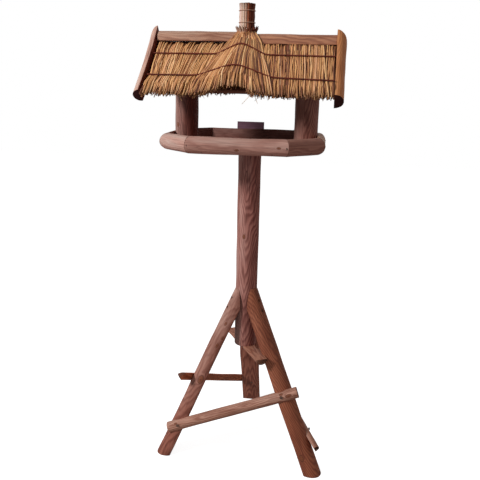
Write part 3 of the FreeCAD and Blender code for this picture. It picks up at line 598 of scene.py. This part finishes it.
# Painted shade: the verges' sawn ends, which face down towards the front, are painted nearly black.
verge_ends_painted_shade = end_grain("verge_ends_painted_shade", (0.045, 0.01, 0.008), (0.02, 0.004, 0.004))
for seed, name in enumerate(verge_names, start=30):
    side = "front" if "front" in name else "back"
    hand = -1 if "left" in name else 1
    low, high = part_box(name)
    top = Vector((high.x if hand < 0 else low.x, apex.y, apex.z))
    run_down = down_run[side]
    reach = (apex.z - low.z) / math.sqrt(0.5) - verge_end_width / 2
    run = reach + verge_width
    start = top - run_down * verge_width
    outwards = Vector((hand, 0, 0))
    if hand < 0:
        start += out_of_roof[side] * 0.004
        outwards -= out_of_roof[side] * verge_tilt
    foot_width = 0.049 if name == "verge_front_right" else verge_end_width
    pale, deep, sheen_colour = verge_colours[hand]
    skin = wood(name + "_wood", pale, deep, pith=(0.004, -0.01), taper=0.05, sheen_colour=sheen_colour, contrast=0.8)
    verge = half_log_blank(name + "_timber", verge_width, run, sides=40)
    lay_grain(verge, seed)
    wear(verge, seed, ripple=0.0008)
    for vertex in verge.data.vertices:
        share = 1 - (1 - foot_width / verge_width) * vertex.co.z / run
        vertex.co.x *= share
        vertex.co.y *= share
    place_timber(verge, start, run_down, outwards)
    saw(verge, top + run_down * (reach - 0.0006), run_down)
    saw(verge, top, (0, 1 if side == "front" else -1, 0))
    if name == "verge_front_left":
        for vertex in verge.data.vertices:
            share = (apex.z - vertex.co.z) / reach
            vertex.co.x -= verge_flare * max(0.0, 1.41 * share) ** 1.3
    finish_timber(verge, skin, verge_ends_painted_shade, name, flat=inside_painted_shade)


# Ridge caps
# Two half-round logs on the ridge, one each side of the chimney.

cap_deep = (0.19, 0.058, 0.033)
caps = (
    ("ridge_cap_left", 0.0055, {"pale": (0.47, 0.21, 0.125), "sheen_strength": 0.9, "sheen_colour": (0.46, 0.33, 0.25)}),
    ("ridge_cap_right", 0.0, {"pale": (0.5, 0.2, 0.1), "sheen_strength": 0.6, "sheen_colour": (0.44, 0.26, 0.18)}),
)
for seed, (name, lift, look) in enumerate(caps, start=40):
    low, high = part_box(name)
    width = high.y - low.y
    run = high.x - low.x
    skin = wood(name + "_wood", deep=cap_deep, pith=(0.005, -0.008), taper=0.03, **look)
    cap = half_log_blank(name + "_timber", width, run, sides=40)
    lay_grain(cap, seed)
    wear(cap, seed, ripple=0.0009)
    saw_square(cap, run)
    place_timber(cap, (low.x, (low.y + high.y) / 2, high.z - width / 2 + lift), (1, 0, 0), (0, 0, 1))
    finish_timber(cap, skin, log_ends, name)


# Thatch
# Water reed in a thick layer on each slope: long straws side by side, pressed in by the rods and
# puffed up between them, over many short ones whose ends show as a ragged fringe along the eave.

roof_low, roof_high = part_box("thatch_front")
roof_half = (roof_high.x - roof_low.x) / 2
thatch_top = 0.024
thatch_length = 0.205
sway_radius = 0.002
sway_press = sway_radius + 0.0012
fan_start = -0.014
fan_skew = 0.09
upper_sway = {"down": 0.070, "rise": 0.028, "half": 0.066, "droop": 0.002}
lower_sway = {"down": 0.156, "rise": 0.029, "half": 0.098, "droop": 0.009}
fringe_reeds = 640
shade_bed_reeds = 60
noise_place = {"front": 0.0, "back": 5.0}


def on_roof(side, x, down, height):
    """Point on a slope: how far along the ridge, down from it, and above the boards."""
    return Vector((apex.x + x, apex.y, apex.z)) + down_run[side] * down + out_of_roof[side] * height


def thickness(down):
    share = (down - thatch_top) / (thatch_length - thatch_top)
    return 0.015 + 0.011 * min(max(share, 0.0), 1.2)


def fan_middle(down):
    return -fan_skew * (down - fan_start)


def fan_half(down):
    return 0.034 + (down - fan_start) * 0.325


def arched(share):
    """Straight flanks up to a rounded crest, with soft feet: 1 in the middle, near 0 from 1 outwards."""
    rise = (1 - math.sqrt(share * share + 0.055)) / 0.77
    return 0.5 * (rise + math.sqrt(rise * rise + 0.02))


def sway_over(sway, x):
    """Where a rod passes over x: its way down the slope and the height of its middle."""
    crest_down = sway["down"] - sway["rise"] * math.sqrt(0.5)
    lift = sway["rise"] * arched((x - fan_middle(crest_down)) / sway["half"])
    down = sway["down"] + sway["droop"] * max(0.0, x / roof_half)
    return down - lift * math.sqrt(0.5), thickness(down) + 0.0044 + lift * math.sqrt(0.5)


def eyebrow(side, x):
    """1 along the flat top of the raised eave, falling to 0 at its ends, steeper at its right end."""
    away = x + 0.010
    if side == "back":
        away = -away
    beyond = (abs(away) - 0.026) / (0.030 if away < 0 else 0.020)
    return math.cos(math.pi / 2 * min(max(beyond, 0.0), 1.0)) ** 2


def bind_reeds(name, reeds, material, sides=6, point=0.7):
    """Makes a round straw along each path. A reed is its points, its radius, its shade and its painted depth
    shade.
    """
    corners, faces, tint, along = [], [], [], []
    for points, radius, shade, depth_shade in reeds:
        first = len(corners)
        last = len(points) - 1
        steps = [0.0]
        for before, after in zip(points, points[1:]):
            steps.append(steps[-1] + (after - before).length)
        side = (points[1] - points[0]).orthogonal().normalized()
        for index, middle in enumerate(points):
            run = (points[min(index + 1, last)] - points[max(index - 1, 0)]).normalized()
            side = (side - run * side.dot(run)).normalized()
            third = run.cross(side)
            thick = radius * (point if index == last else 1.0)
            for corner in range(sides):
                turn = 2 * math.pi * corner / sides
                corners.append(middle + (side * math.cos(turn) + third * math.sin(turn)) * thick)
                tint.append(shade)
                along.append((steps[index], steps[-1] - steps[index], depth_shade))
        for index in range(last):
            for corner in range(sides):
                here = first + index * sides + corner
                beside = first + index * sides + (corner + 1) % sides
                faces.append((here, beside, beside + sides, here + sides))
        faces.append(tuple(range(first + sides - 1, first - 1, -1)))
        faces.append(tuple(range(first + last * sides, first + (last + 1) * sides)))
    mesh = bpy.data.meshes.new(name)
    mesh.from_pydata(corners, [], faces)
    mesh.materials.append(material)
    mesh.attributes.new("tint", "FLOAT", "POINT").data.foreach_set("value", tint)
    mesh.attributes.new("along", "FLOAT_VECTOR", "POINT").data.foreach_set("vector", np.ravel(along))
    straws = bpy.data.objects.new(name, mesh)
    bpy.context.scene.collection.objects.link(straws)
    pick(straws)
    bpy.ops.object.shade_smooth_by_angle(angle=math.radians(70))
    return straws


def straw(name, dark, middle, light, pale, gloss=0.35):
    """Dry reed: each straw has its own shade, fine streaks along it and a dirtier, darker tip, and straws
    that lie deep are painted darker, as shade.
    """
    mix = Finish(bpy.data.materials.new(name))
    tint = mix.attribute("tint")
    from_head, from_tip, depth_shade = mix.parts(mix.attribute("along", "Vector"))
    where = mix.step("CombineXYZ", {0: from_head, 1: tint}).outputs[0]
    total = mix.maths("MULTIPLY_ADD", mix.cloud(where, scale=26.0, detail=3.0), 0.5, tint)
    stops = ((0.3, dark), (0.5, middle), (0.85, light), (1.25, pale))
    tone = mix.ramp(mix.maths("DIVIDE", total, 1.5), [(shade / 1.5, colour) for shade, colour in stops])
    chance = mix.step("TexWhiteNoise", {"W": tint}, noise_dimensions="1D").outputs["Value"]
    colour = mix.blend(mix.span(chance, 0.6, 1.0, 0.0, 0.8), tone, (0.9, 0.72, 0.82), mode="MULTIPLY")
    # The darker tip is dirt, and the depth part is painted shade on straws that lie deep.
    darkened = mix.maths("MAXIMUM", mix.span(from_tip, 0.0, 0.02, 0.45, 0.0), depth_shade)
    colour = mix.blend(darkened, colour, tuple(0.55 * c for c in dark))
    return mix.dress(colour, 0.55, specular=gloss)


reed_straw = straw("reed_straw", (0.15, 0.044, 0.018), (0.41, 0.175, 0.064), (0.65, 0.34, 0.135),
                   (0.8, 0.52, 0.28))
draw = random.Random(5)


def reed_shade(middle):
    """Most straws are golden, some are brown and a few are bleached."""
    kind = draw.random()
    spread = -0.36 if kind < 0.3 else 0.26 if kind > 0.82 else 0.0
    return min(max(middle + spread + draw.gauss(0, 0.1), 0.02), 0.98)


def sunlit(x):
    """Painted light: the left half of the thatch is a little lighter and the right half a little darker."""
    return 0.09 if x < -0.03 else -0.03


def lean_of(x):
    """How far a straw runs sideways for each step down: to the left on the left half of the roof."""
    return 0.05 * math.exp(-((x - 0.13) / 0.07) ** 2) - 0.2 * math.exp(-((x + 0.115) / 0.07) ** 2)


def under_rods(upper_x, lower_x, tip):
    """Stops of a straw that both rods press in: its way down the slope, and its height at a rod."""
    upper_down, upper_height = sway_over(upper_sway, upper_x)
    lower_down, lower_height = sway_over(lower_sway, lower_x)
    return [(upper_down, upper_height - sway_press), ((upper_down + lower_down) / 2, None),
            (lower_down, lower_height - sway_press), ((lower_down + tip) / 2, None), (tip, None)]


def layer_reed(side, x, depth, tip, top):
    """One straw of the layer, from under the cap to the eave, pressed in where the rods cross it."""
    lean = lean_of(x) + draw.gauss(0, 0.035)
    bend = draw.gauss(0, 0.0024)
    splay = 0.3 * math.exp(-((x + roof_half) / 0.05) ** 2)
    puff = 0.0022 + 0.0015 * noise.noise(Vector((x * 40, 2.0, 7.0)))
    stops = under_rods(x, x, tip)
    upper_down, lower_down = stops[0][0], stops[2][0]
    if top < upper_down:
        stops = [(top, 0.012), (top + 0.010, 0.0165), ((top + upper_down) / 2 + 0.006, None)] + stops
    else:
        stops = [(top, None)] + stops[2:]
    points = []
    for down, height in stops:
        if height is None:
            height = thickness(down) + 0.0015 + puff
            if down == tip:
                height = thickness(down) - 0.007 + draw.gauss(0, 0.0025)
        height -= depth * (height - 0.003)
        below_rod = max(0.0, down - lower_down)
        sideways = x + lean * (down - 0.11) + bend * math.sin(down * 40) - splay * below_rod
        if down == tip:
            sideways += draw.gauss(0, 0.0015)
        left_edge = 0.0075 - roof_half - 0.3 * below_rod
        points.append(on_roof(side, max(left_edge, min(roof_half - 0.003, sideways)), down, height))
    return points


def under_fan(x, down):
    return abs(x - fan_middle(down)) < fan_half(down) - 0.012


for side in ("front", "back"):
    reeds = []
    width = 2 * roof_half - 0.004
    for rank, (count, depth, ragged) in enumerate(((185, 0.0, 0.004), (190, 0.12, 0.006))):
        for index in range(count):
            x = -width / 2 + width * (index + draw.random()) / count
            if under_fan(x, 0.1) and under_fan(x, 0.19):
                continue
            clump = 0.25 * noise.noise(Vector((x * 55, 3.0 + rank, 1.0 + noise_place[side])))
            tip = min(0.209 - 0.026 * eyebrow(side, x) + draw.gauss(0, ragged), 0.219)
            sunk = depth + 0.08 * draw.random() - 0.2 * min(clump, 0)
            path = layer_reed(side, x, sunk, tip, top=draw.uniform(0.013, 0.032))
            # Straws in the deeper rank are painted darker, as shade between the straws.
            reeds.append((path, draw.uniform(0.0012, 0.0022),
                          reed_shade(0.5 + clump - 1.5 * depth + sunlit(x)), 1.5 * depth))
    for index in range(fringe_reeds):
        x = -width / 2 + width * draw.random()
        depth = draw.uniform(0.12, 0.95)
        arch = eyebrow(side, x)
        tip = min(0.210 - 0.031 * arch + draw.gauss(0, 0.004) - 0.003 * depth, 0.217)
        path = layer_reed(side, x, depth, tip, top=0.135 - 0.03 * arch)
        # Fringe straws that lie deeper are painted darker, as shade.
        reeds.append((path, draw.uniform(0.0012, 0.0020),
                      reed_shade(0.45 + sunlit(x)) * (1 - 0.5 * depth), 0.5 * depth))
    for index in range(shade_bed_reeds):
        x = -width / 2 + width * (index + 0.5) / shade_bed_reeds
        path = [on_roof(side, x, 0.02, 0.006), on_roof(side, x, 0.1, 0.011),
                on_roof(side, x, 0.192 - 0.030 * eyebrow(side, x), 0.014)]
        # Thick dark reeds under the layer: painted shade in the gaps between the straws.
        reeds.append((path, 0.0055, 0.1, 0.7))
    thatch = bind_reeds("thatch_" + side + "_reeds", reeds, reed_straw)
    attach(thatch, "root")
    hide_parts("thatch_" + side)


# Fans
# Longer reeds whose heads stand round the chimney's foot. They come through the gap of the cap,
# bend over the eave's middle like a skirt, and are held by the same two rods.

cap_axis_height = apex.z - 0.004
cap_clearance = 0.0302
packed_reeds = 280
fan_shade_bed_reeds = 24
loose_straws = ((0.036, 0.196, 0.008, -0.026, 0.028), (0.040, 0.196, 0.010, 0.011, 0.027),
                (-0.160, 0.203, 0.010, 0.012, 0.020))


def crest_line(down):
    """Height of the fan's middle line above the boards."""
    upper_down, upper_height = sway_over(upper_sway, fan_middle(0.05))
    lower_down, lower_height = sway_over(lower_sway, fan_middle(0.135))
    slope = (lower_height - upper_height) / (lower_down - upper_down)
    return upper_height - 0.0014 + (down - upper_down) * slope


def fan_height(across, down):
    foot = thickness(down) + 0.005
    return foot + (crest_line(down) - foot) * arched(across)


def fan_x(across, down):
    return fan_middle(down) + across * fan_half(down)


def clear_of_caps(point):
    """Moves a point out to the skin of the cap where it would run through the wood."""
    if abs(point.x - apex.x) > 0.020:
        offset = Vector((0, point.y - apex.y, point.z - cap_axis_height))
        if offset.length < cap_clearance:
            point = Vector((point.x, apex.y, cap_axis_height)) + offset.normalized() * cap_clearance
    return point


def fan_reed(side, across, depth, tip):
    """One long reed, from beside the chimney over the cap's edge and under both rods to the eave."""
    turn = across * math.radians(64)
    toward = -1 if side == "front" else 1
    ring = 0.0240 + draw.uniform(0.0, 0.0015)
    points = [Vector((apex.x + ring * math.sin(turn), apex.y + toward * ring * math.cos(turn),
                      apex.z + 0.027 + draw.gauss(0, 0.0012))),
              clear_of_caps(on_roof(side, across * 0.034, 0.005, 0.026 - depth)),
              clear_of_caps(on_roof(side, across * 0.040, 0.014, 0.024 - depth))]
    rods = under_rods(fan_x(across, 0.05), fan_x(across, 0.135), tip)
    bend = draw.gauss(0, 0.0022)
    slant = draw.gauss(0, 0.03)
    for down, height in [(0.024, None)] + rods:
        if height is None:
            height = fan_height(across, down) + (0.0018 if 0.03 < down < tip else 0.0)
        height -= depth
        sideways = fan_x(across, down) + bend * math.sin(down * 35) + slant * (down - rods[0][0])
        if down == tip:
            sideways += draw.gauss(0, 0.002)
            height += draw.gauss(0, 0.0015) - 0.010 - 0.007 * arched(across)
        points.append(clear_of_caps(on_roof(side, sideways, down, height)))
    return points


for side in ("front", "back"):
    reeds = []
    for count, depth, ragged in ((112, 0.0, 0.004), (130, 0.0028, 0.005)):
        for index in range(count):
            across = -1 + 2 * (index + draw.random()) / count
            clump = 0.3 * noise.noise(Vector((across * 9, 5.0 + 300 * depth, 2.0 + noise_place[side])))
            arch = eyebrow(side, fan_x(across, 0.19))
            tip = min(0.207 - 0.017 * arch + draw.gauss(0, ragged), 0.218)
            sunk = depth + draw.uniform(0, 0.0012) - 0.006 * min(clump, 0)
            path = fan_reed(side, across, sunk, tip)
            # Fan straws that lie deeper are painted darker, as shade.
            reeds.append((path, draw.uniform(0.0014, 0.0023), reed_shade(0.4 + 1.2 * clump - 40 * depth),
                          60 * depth))
    for index in range(packed_reeds):
        across = draw.uniform(-1, 1)
        depth = draw.uniform(0.003, 0.019) * max(0.25, arched(across))
        arch = eyebrow(side, fan_x(across, 0.19))
        start = 0.13 - 0.02 * arch
        tip = min(0.206 - 0.025 * arch - 0.3 * depth + draw.gauss(0, 0.004), 0.216)
        points = []
        for down in (start, (start + tip) / 2, tip):
            sideways = fan_x(across, down)
            height = fan_height(across, down) - depth - 0.002
            if down == tip:
                sideways += draw.gauss(0, 0.002)
                height = max(height - 0.009 - 0.005 * arched(across), 0.002)
            points.append(on_roof(side, sideways, down, height))
        # Packed straws that lie deeper are painted darker, as shade.
        reeds.append((points, draw.uniform(0.0011, 0.0018), reed_shade(0.45) * (1 - 18 * depth), 20 * depth))
    for index in range(fan_shade_bed_reeds):
        across = -0.93 + 1.86 * index / (fan_shade_bed_reeds - 1)
        points = []
        for down in (0.032, 0.06, 0.11, 0.168 - 0.008 * arched(across)):
            sideways = fan_middle(down) + across * (fan_half(down) - 0.006)
            height = max(fan_height(across, down) - 0.013, 0.012)
            points.append(clear_of_caps(on_roof(side, sideways, down, height)))
        # Thick dark reeds under the fan: painted shade in the gaps between the straws.
        reeds.append((points, 0.0058, 0.1, 0.7))
    for x, down, height, sideways, drop in loose_straws:
        foot = on_roof(side, x, down, height)
        path = [on_roof(side, x, down - 0.03, height + 0.006), foot, foot + Vector((sideways, 0, -drop))]
        reeds.append((path, 0.0007, 0.7, 0.0))
    fan = bind_reeds("thatch_fan_" + side + "_reeds", reeds, reed_straw)
    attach(fan, "root")
    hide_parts("thatch_fan_" + side)


# Chimney
# Thick reeds bound upright round a core, drawn in a little by two wire ties, and stained darker.

chimney_straw = straw("chimney_straw", (0.085, 0.015, 0.007), (0.27, 0.075, 0.033), (0.5, 0.33, 0.24),
                      (0.66, 0.52, 0.43), gloss=0.1)
chimney_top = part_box("chimney_bundle")[1].z
tie_low, tie_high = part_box("chimney_ties")
lower_tie = tie_low.z + 0.001
upper_tie = tie_high.z - 0.001
chimney_rings = ((0.0184, 19, 0.0035), (0.0125, 13, 0.0035), (0.0065, 7, 0.0034), (0.0, 1, 0.0034))


def round_chimney(turn, steps):
    """Points above each other beside the chimney's axis, each at its own reach and height."""
    return [Vector((apex.x + reach * math.cos(turn), apex.y + reach * math.sin(turn), height))
            for reach, height in steps]


def lamp_side_share(turn):
    """1 on the side that faces the key lamp, 0 on the far side; straws there are painted lighter, as light.
    """
    return max(0.0, math.cos(turn - math.radians(205)))


reeds = []
for radius, count, thick in chimney_rings:
    for index in range(count):
        turn = 2 * math.pi * (index + 0.3 * draw.random()) / count
        top = chimney_top + draw.uniform(-0.001, 0.0015)
        points = round_chimney(turn, (
            (radius, apex.z + 0.012), (radius, lower_tie - 0.010), (radius * 0.94, lower_tie),
            (radius, (lower_tie + upper_tie) / 2), (radius * 0.94, upper_tie), (radius * 1.045, top)))
        # Straws on the side that faces the key lamp are painted lighter, as light, and the inner rings are
        # painted darker, as shade.
        shade = min(max(draw.gauss(0.14 + 0.75 * lamp_side_share(turn), 0.12), 0.02), 0.98)
        reeds.append((points, thick * draw.uniform(0.85, 1.06), shade, 0.0 if radius > 0.018 else 0.7))
chimney = bind_reeds("chimney_reeds", reeds, chimney_straw, sides=8, point=0.96)
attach(chimney, "root")
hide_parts("chimney_bundle")


# Collar
# Short cut reeds round the chimney's foot that lean outwards like a crown.

collar_low, collar_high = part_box("chimney_collar")
reeds = []
for rank, (count, inner, outer, drop) in enumerate(((26, 0.0240, 0.0318, 0.0), (22, 0.0236, 0.0285, 0.001))):
    for index in range(count):
        turn = 2 * math.pi * (index + 0.5 * rank + 0.35 * draw.random()) / count
        top = collar_high.z + 0.002 - drop + draw.uniform(-0.006, 0.003)
        points = round_chimney(turn, ((inner, collar_low.z - 0.002),
                                      ((inner + outer) / 2 - 0.001, collar_low.z + 0.006), (outer, top)))
        # Straws on the side that faces the key lamp are painted lighter, as light.
        shade = min(max(draw.gauss(0.15 + 0.6 * lamp_side_share(turn), 0.15), 0.02), 0.95)
        reeds.append((points, draw.uniform(0.0021, 0.0027), shade, 0.0))
collar = bind_reeds("collar_reeds", reeds, chimney_straw, sides=8, point=0.35)
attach(collar, "root")
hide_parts("chimney_collar")


# Rods over the thatch
# Thin split rods, stained dark, that run over the reeds and hump over the fan.

rod_steps = 72
rod_wood = wood("rod_wood", (0.17, 0.03, 0.014), (0.07, 0.011, 0.006), ring=0.0012, pith=(0, 0), sheen_strength=0.1)
for side in ("front", "back"):
    for kind, sway in (("upper", upper_sway), ("lower", lower_sway)):
        points = []
        for step in range(rod_steps + 1):
            x = -roof_half + 2 * roof_half * step / rod_steps
            down, height = sway_over(sway, x)
            waver = 0.0011 * noise.noise(Vector((x * 32, sway["down"] * 100, 3.0 + noise_place[side])))
            points.append(on_roof(side, x, down + waver, height + waver))
        rod = bind_reeds("sway_" + side + "_" + kind + "_rod", [(points, sway_radius, 0.5, 0.0)], rod_wood)
        co = np.array([v.co for v in rod.data.vertices])
        lay = np.stack([co[:, 1] * 0.2, co[:, 2] * 0.2, co[:, 0] + sway["down"] * 9], axis=1)
        rod.data.attributes.new(GRAIN, "FLOAT_VECTOR", "POINT").data.foreach_set("vector", lay.ravel())
        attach(rod, "root")
        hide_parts("sway_" + side + "_" + kind)


# Ties, staples, screws and nails
# Staples, countersunk screws and round nails, all gone dull brown out of doors, and the wire ties
# of the chimney, which have taken on the colour of the reeds.

metal_names = ("leg_screws", "post_rest_screws", "brace_screws", "tray_floor_screws", "rail_nails",
               "tray_corner_nails", "rear_plate_screws", "house_post_screws", "roof_board_screws",
               "verge_screws", "ridge_cap_screws", "sway_staples")


def finish_node(name, finish):
    """Gives a finer material to a piece that keeps its solid's shape."""
    for slot in nodes[name].material_slots:
        slot.material = finish


metal = Finish(bpy.data.materials.new("tarnished_metal"))
spots = metal.cloud(metal.own_place(), scale=420.0, detail=3.0)
tone = metal.ramp(spots, ((0.4, (0.055, 0.04, 0.036)), (0.62, (0.12, 0.045, 0.022))))
metal.feed(metal.shader.inputs["Metallic"], metal.span(spots, 0.4, 0.6, 0.8, 0.1))
tarnished = metal.dress(tone, 0.6)
for name in metal_names:
    finish_node(name, tarnished)
wire = Finish(bpy.data.materials.new("tie_wire"))
spots = wire.cloud(wire.own_place(), scale=90.0)
tone = wire.ramp(spots, ((0.0, (0.3, 0.13, 0.08)), (1.0, (0.5, 0.3, 0.21))))
finish_node("chimney_ties", wire.dress(tone, 0.7))


# Boards
# The tray's floor and the boards under the thatch are planed softwood, stained dark, and the boards are
# painted darker still for the shade under the eave. The plate behind the back rail is dull and dark, with
# hardly any grain.

board_grain = {"ring": 0.004, "pith": (0.01, -0.6), "taper": 0.02, "sawn_board": True}
floor_board = wood("floor_board", (0.3, 0.15, 0.11), (0.13, 0.045, 0.03), contrast=0.7, **board_grain)
board_painted_shade = wood("board_painted_shade", (0.19, 0.06, 0.034), (0.08, 0.022, 0.012), contrast=0.7, **board_grain)
plate_board = wood("plate_board", (0.2, 0.1, 0.135), (0.12, 0.05, 0.075), sheen_strength=0.0, contrast=0.5,
                   **board_grain)
finish_node("tray_floor", floor_board)
for side in ("front", "back"):
    finish_node("roof_board_" + side, board_painted_shade)
finish_node("rear_plate", plate_board)


# Floor and backdrop
# A plain white floor that keeps the soft shadow round the feet and is white to the camera.

bpy.ops.mesh.primitive_plane_add(size=14, location=(0, 0, -0.0005))
floor = bpy.context.object
floor.name = "floor"
white = Finish(bpy.data.materials.new("floor_white"))
white.tree.nodes.remove(white.shader)
paint = white.step("BsdfDiffuse", {"Color": (0.5, 0.5, 0.5)}).outputs[0]
glow = white.step("Emission", {"Color": (1, 1, 1), "Strength": 0.88}).outputs[0]
both = white.step("AddShader", {0: paint, 1: glow}).outputs[0]
to_camera = white.step("LightPath", {}).outputs["Is Camera Ray"]
seen = white.step("MixShader", {0: to_camera, 1: paint, 2: both}).outputs[0]
white.feed(white.tree.nodes["Material Output"].inputs["Surface"], seen)
floor.data.materials.append(white.made)


# Lights
# A strong lamp from the upper left of the front, and an even pale sky that is white to the camera.

world = bpy.data.worlds.new("studio")
bpy.context.scene.world = world
sky = Finish(world)
pale_sky = sky.tree.nodes["Background"]
sky.feed(pale_sky.inputs["Color"], (1, 1, 1))
sky.feed(pale_sky.inputs["Strength"], 0.34)
white_sky = sky.step("Background", {"Color": (1, 1, 1), "Strength": 1.0}).outputs[0]
ray = sky.step("LightPath", {}).outputs
seen = sky.maths("MAXIMUM", ray["Is Camera Ray"], ray["Is Glossy Ray"])
seen = sky.maths("MAXIMUM", seen, ray["Is Transmission Ray"])
mixed = sky.step("MixShader", {0: seen, 1: pale_sky.outputs[0], 2: white_sky}).outputs[0]
sky.feed(sky.tree.nodes["World Output"].inputs["Surface"], mixed)

lamp_aim = Vector((0, post_axis.y, 0.9))
bpy.ops.object.light_add(type="AREA", location=lamp_aim + Vector((-2.3, -1.65, 1.5)))
key = bpy.context.object
key.name = "key_lamp"
key.data.shape = "DISK"
key.data.size = 0.6
key.data.energy = 98
key.rotation_euler = (lamp_aim - key.location).to_track_quat("-Z", "Y").to_euler()


# Camera
# It stands a little right of the middle and looks slightly down, turned clockwise by a degree.

focal_pixels = 594.03
picture_pixels = 480
sensor_width = 36
camera_place = Vector((post_axis.x + 0.20515, post_axis.y - 1.71409, 1.12915))
camera_aim = Vector((-0.12790, 0.95815, -0.25611))
camera_up = Vector((-0.05706, 0.25069, 0.96638))
camera_right = camera_aim.cross(camera_up).normalized()
camera_turn = Matrix((camera_right, camera_right.cross(camera_aim).normalized(), -camera_aim.normalized()))
bpy.ops.object.camera_add(location=camera_place)
camera = bpy.context.object
camera.name = "camera"
camera.matrix_world = Matrix.Translation(camera_place) @ camera_turn.transposed().to_4x4()
camera.data.sensor_width = sensor_width
camera.data.lens = focal_pixels / picture_pixels * sensor_width
bpy.context.scene.camera = camera
bpy.context.scene.view_settings.view_transform = "Standard"
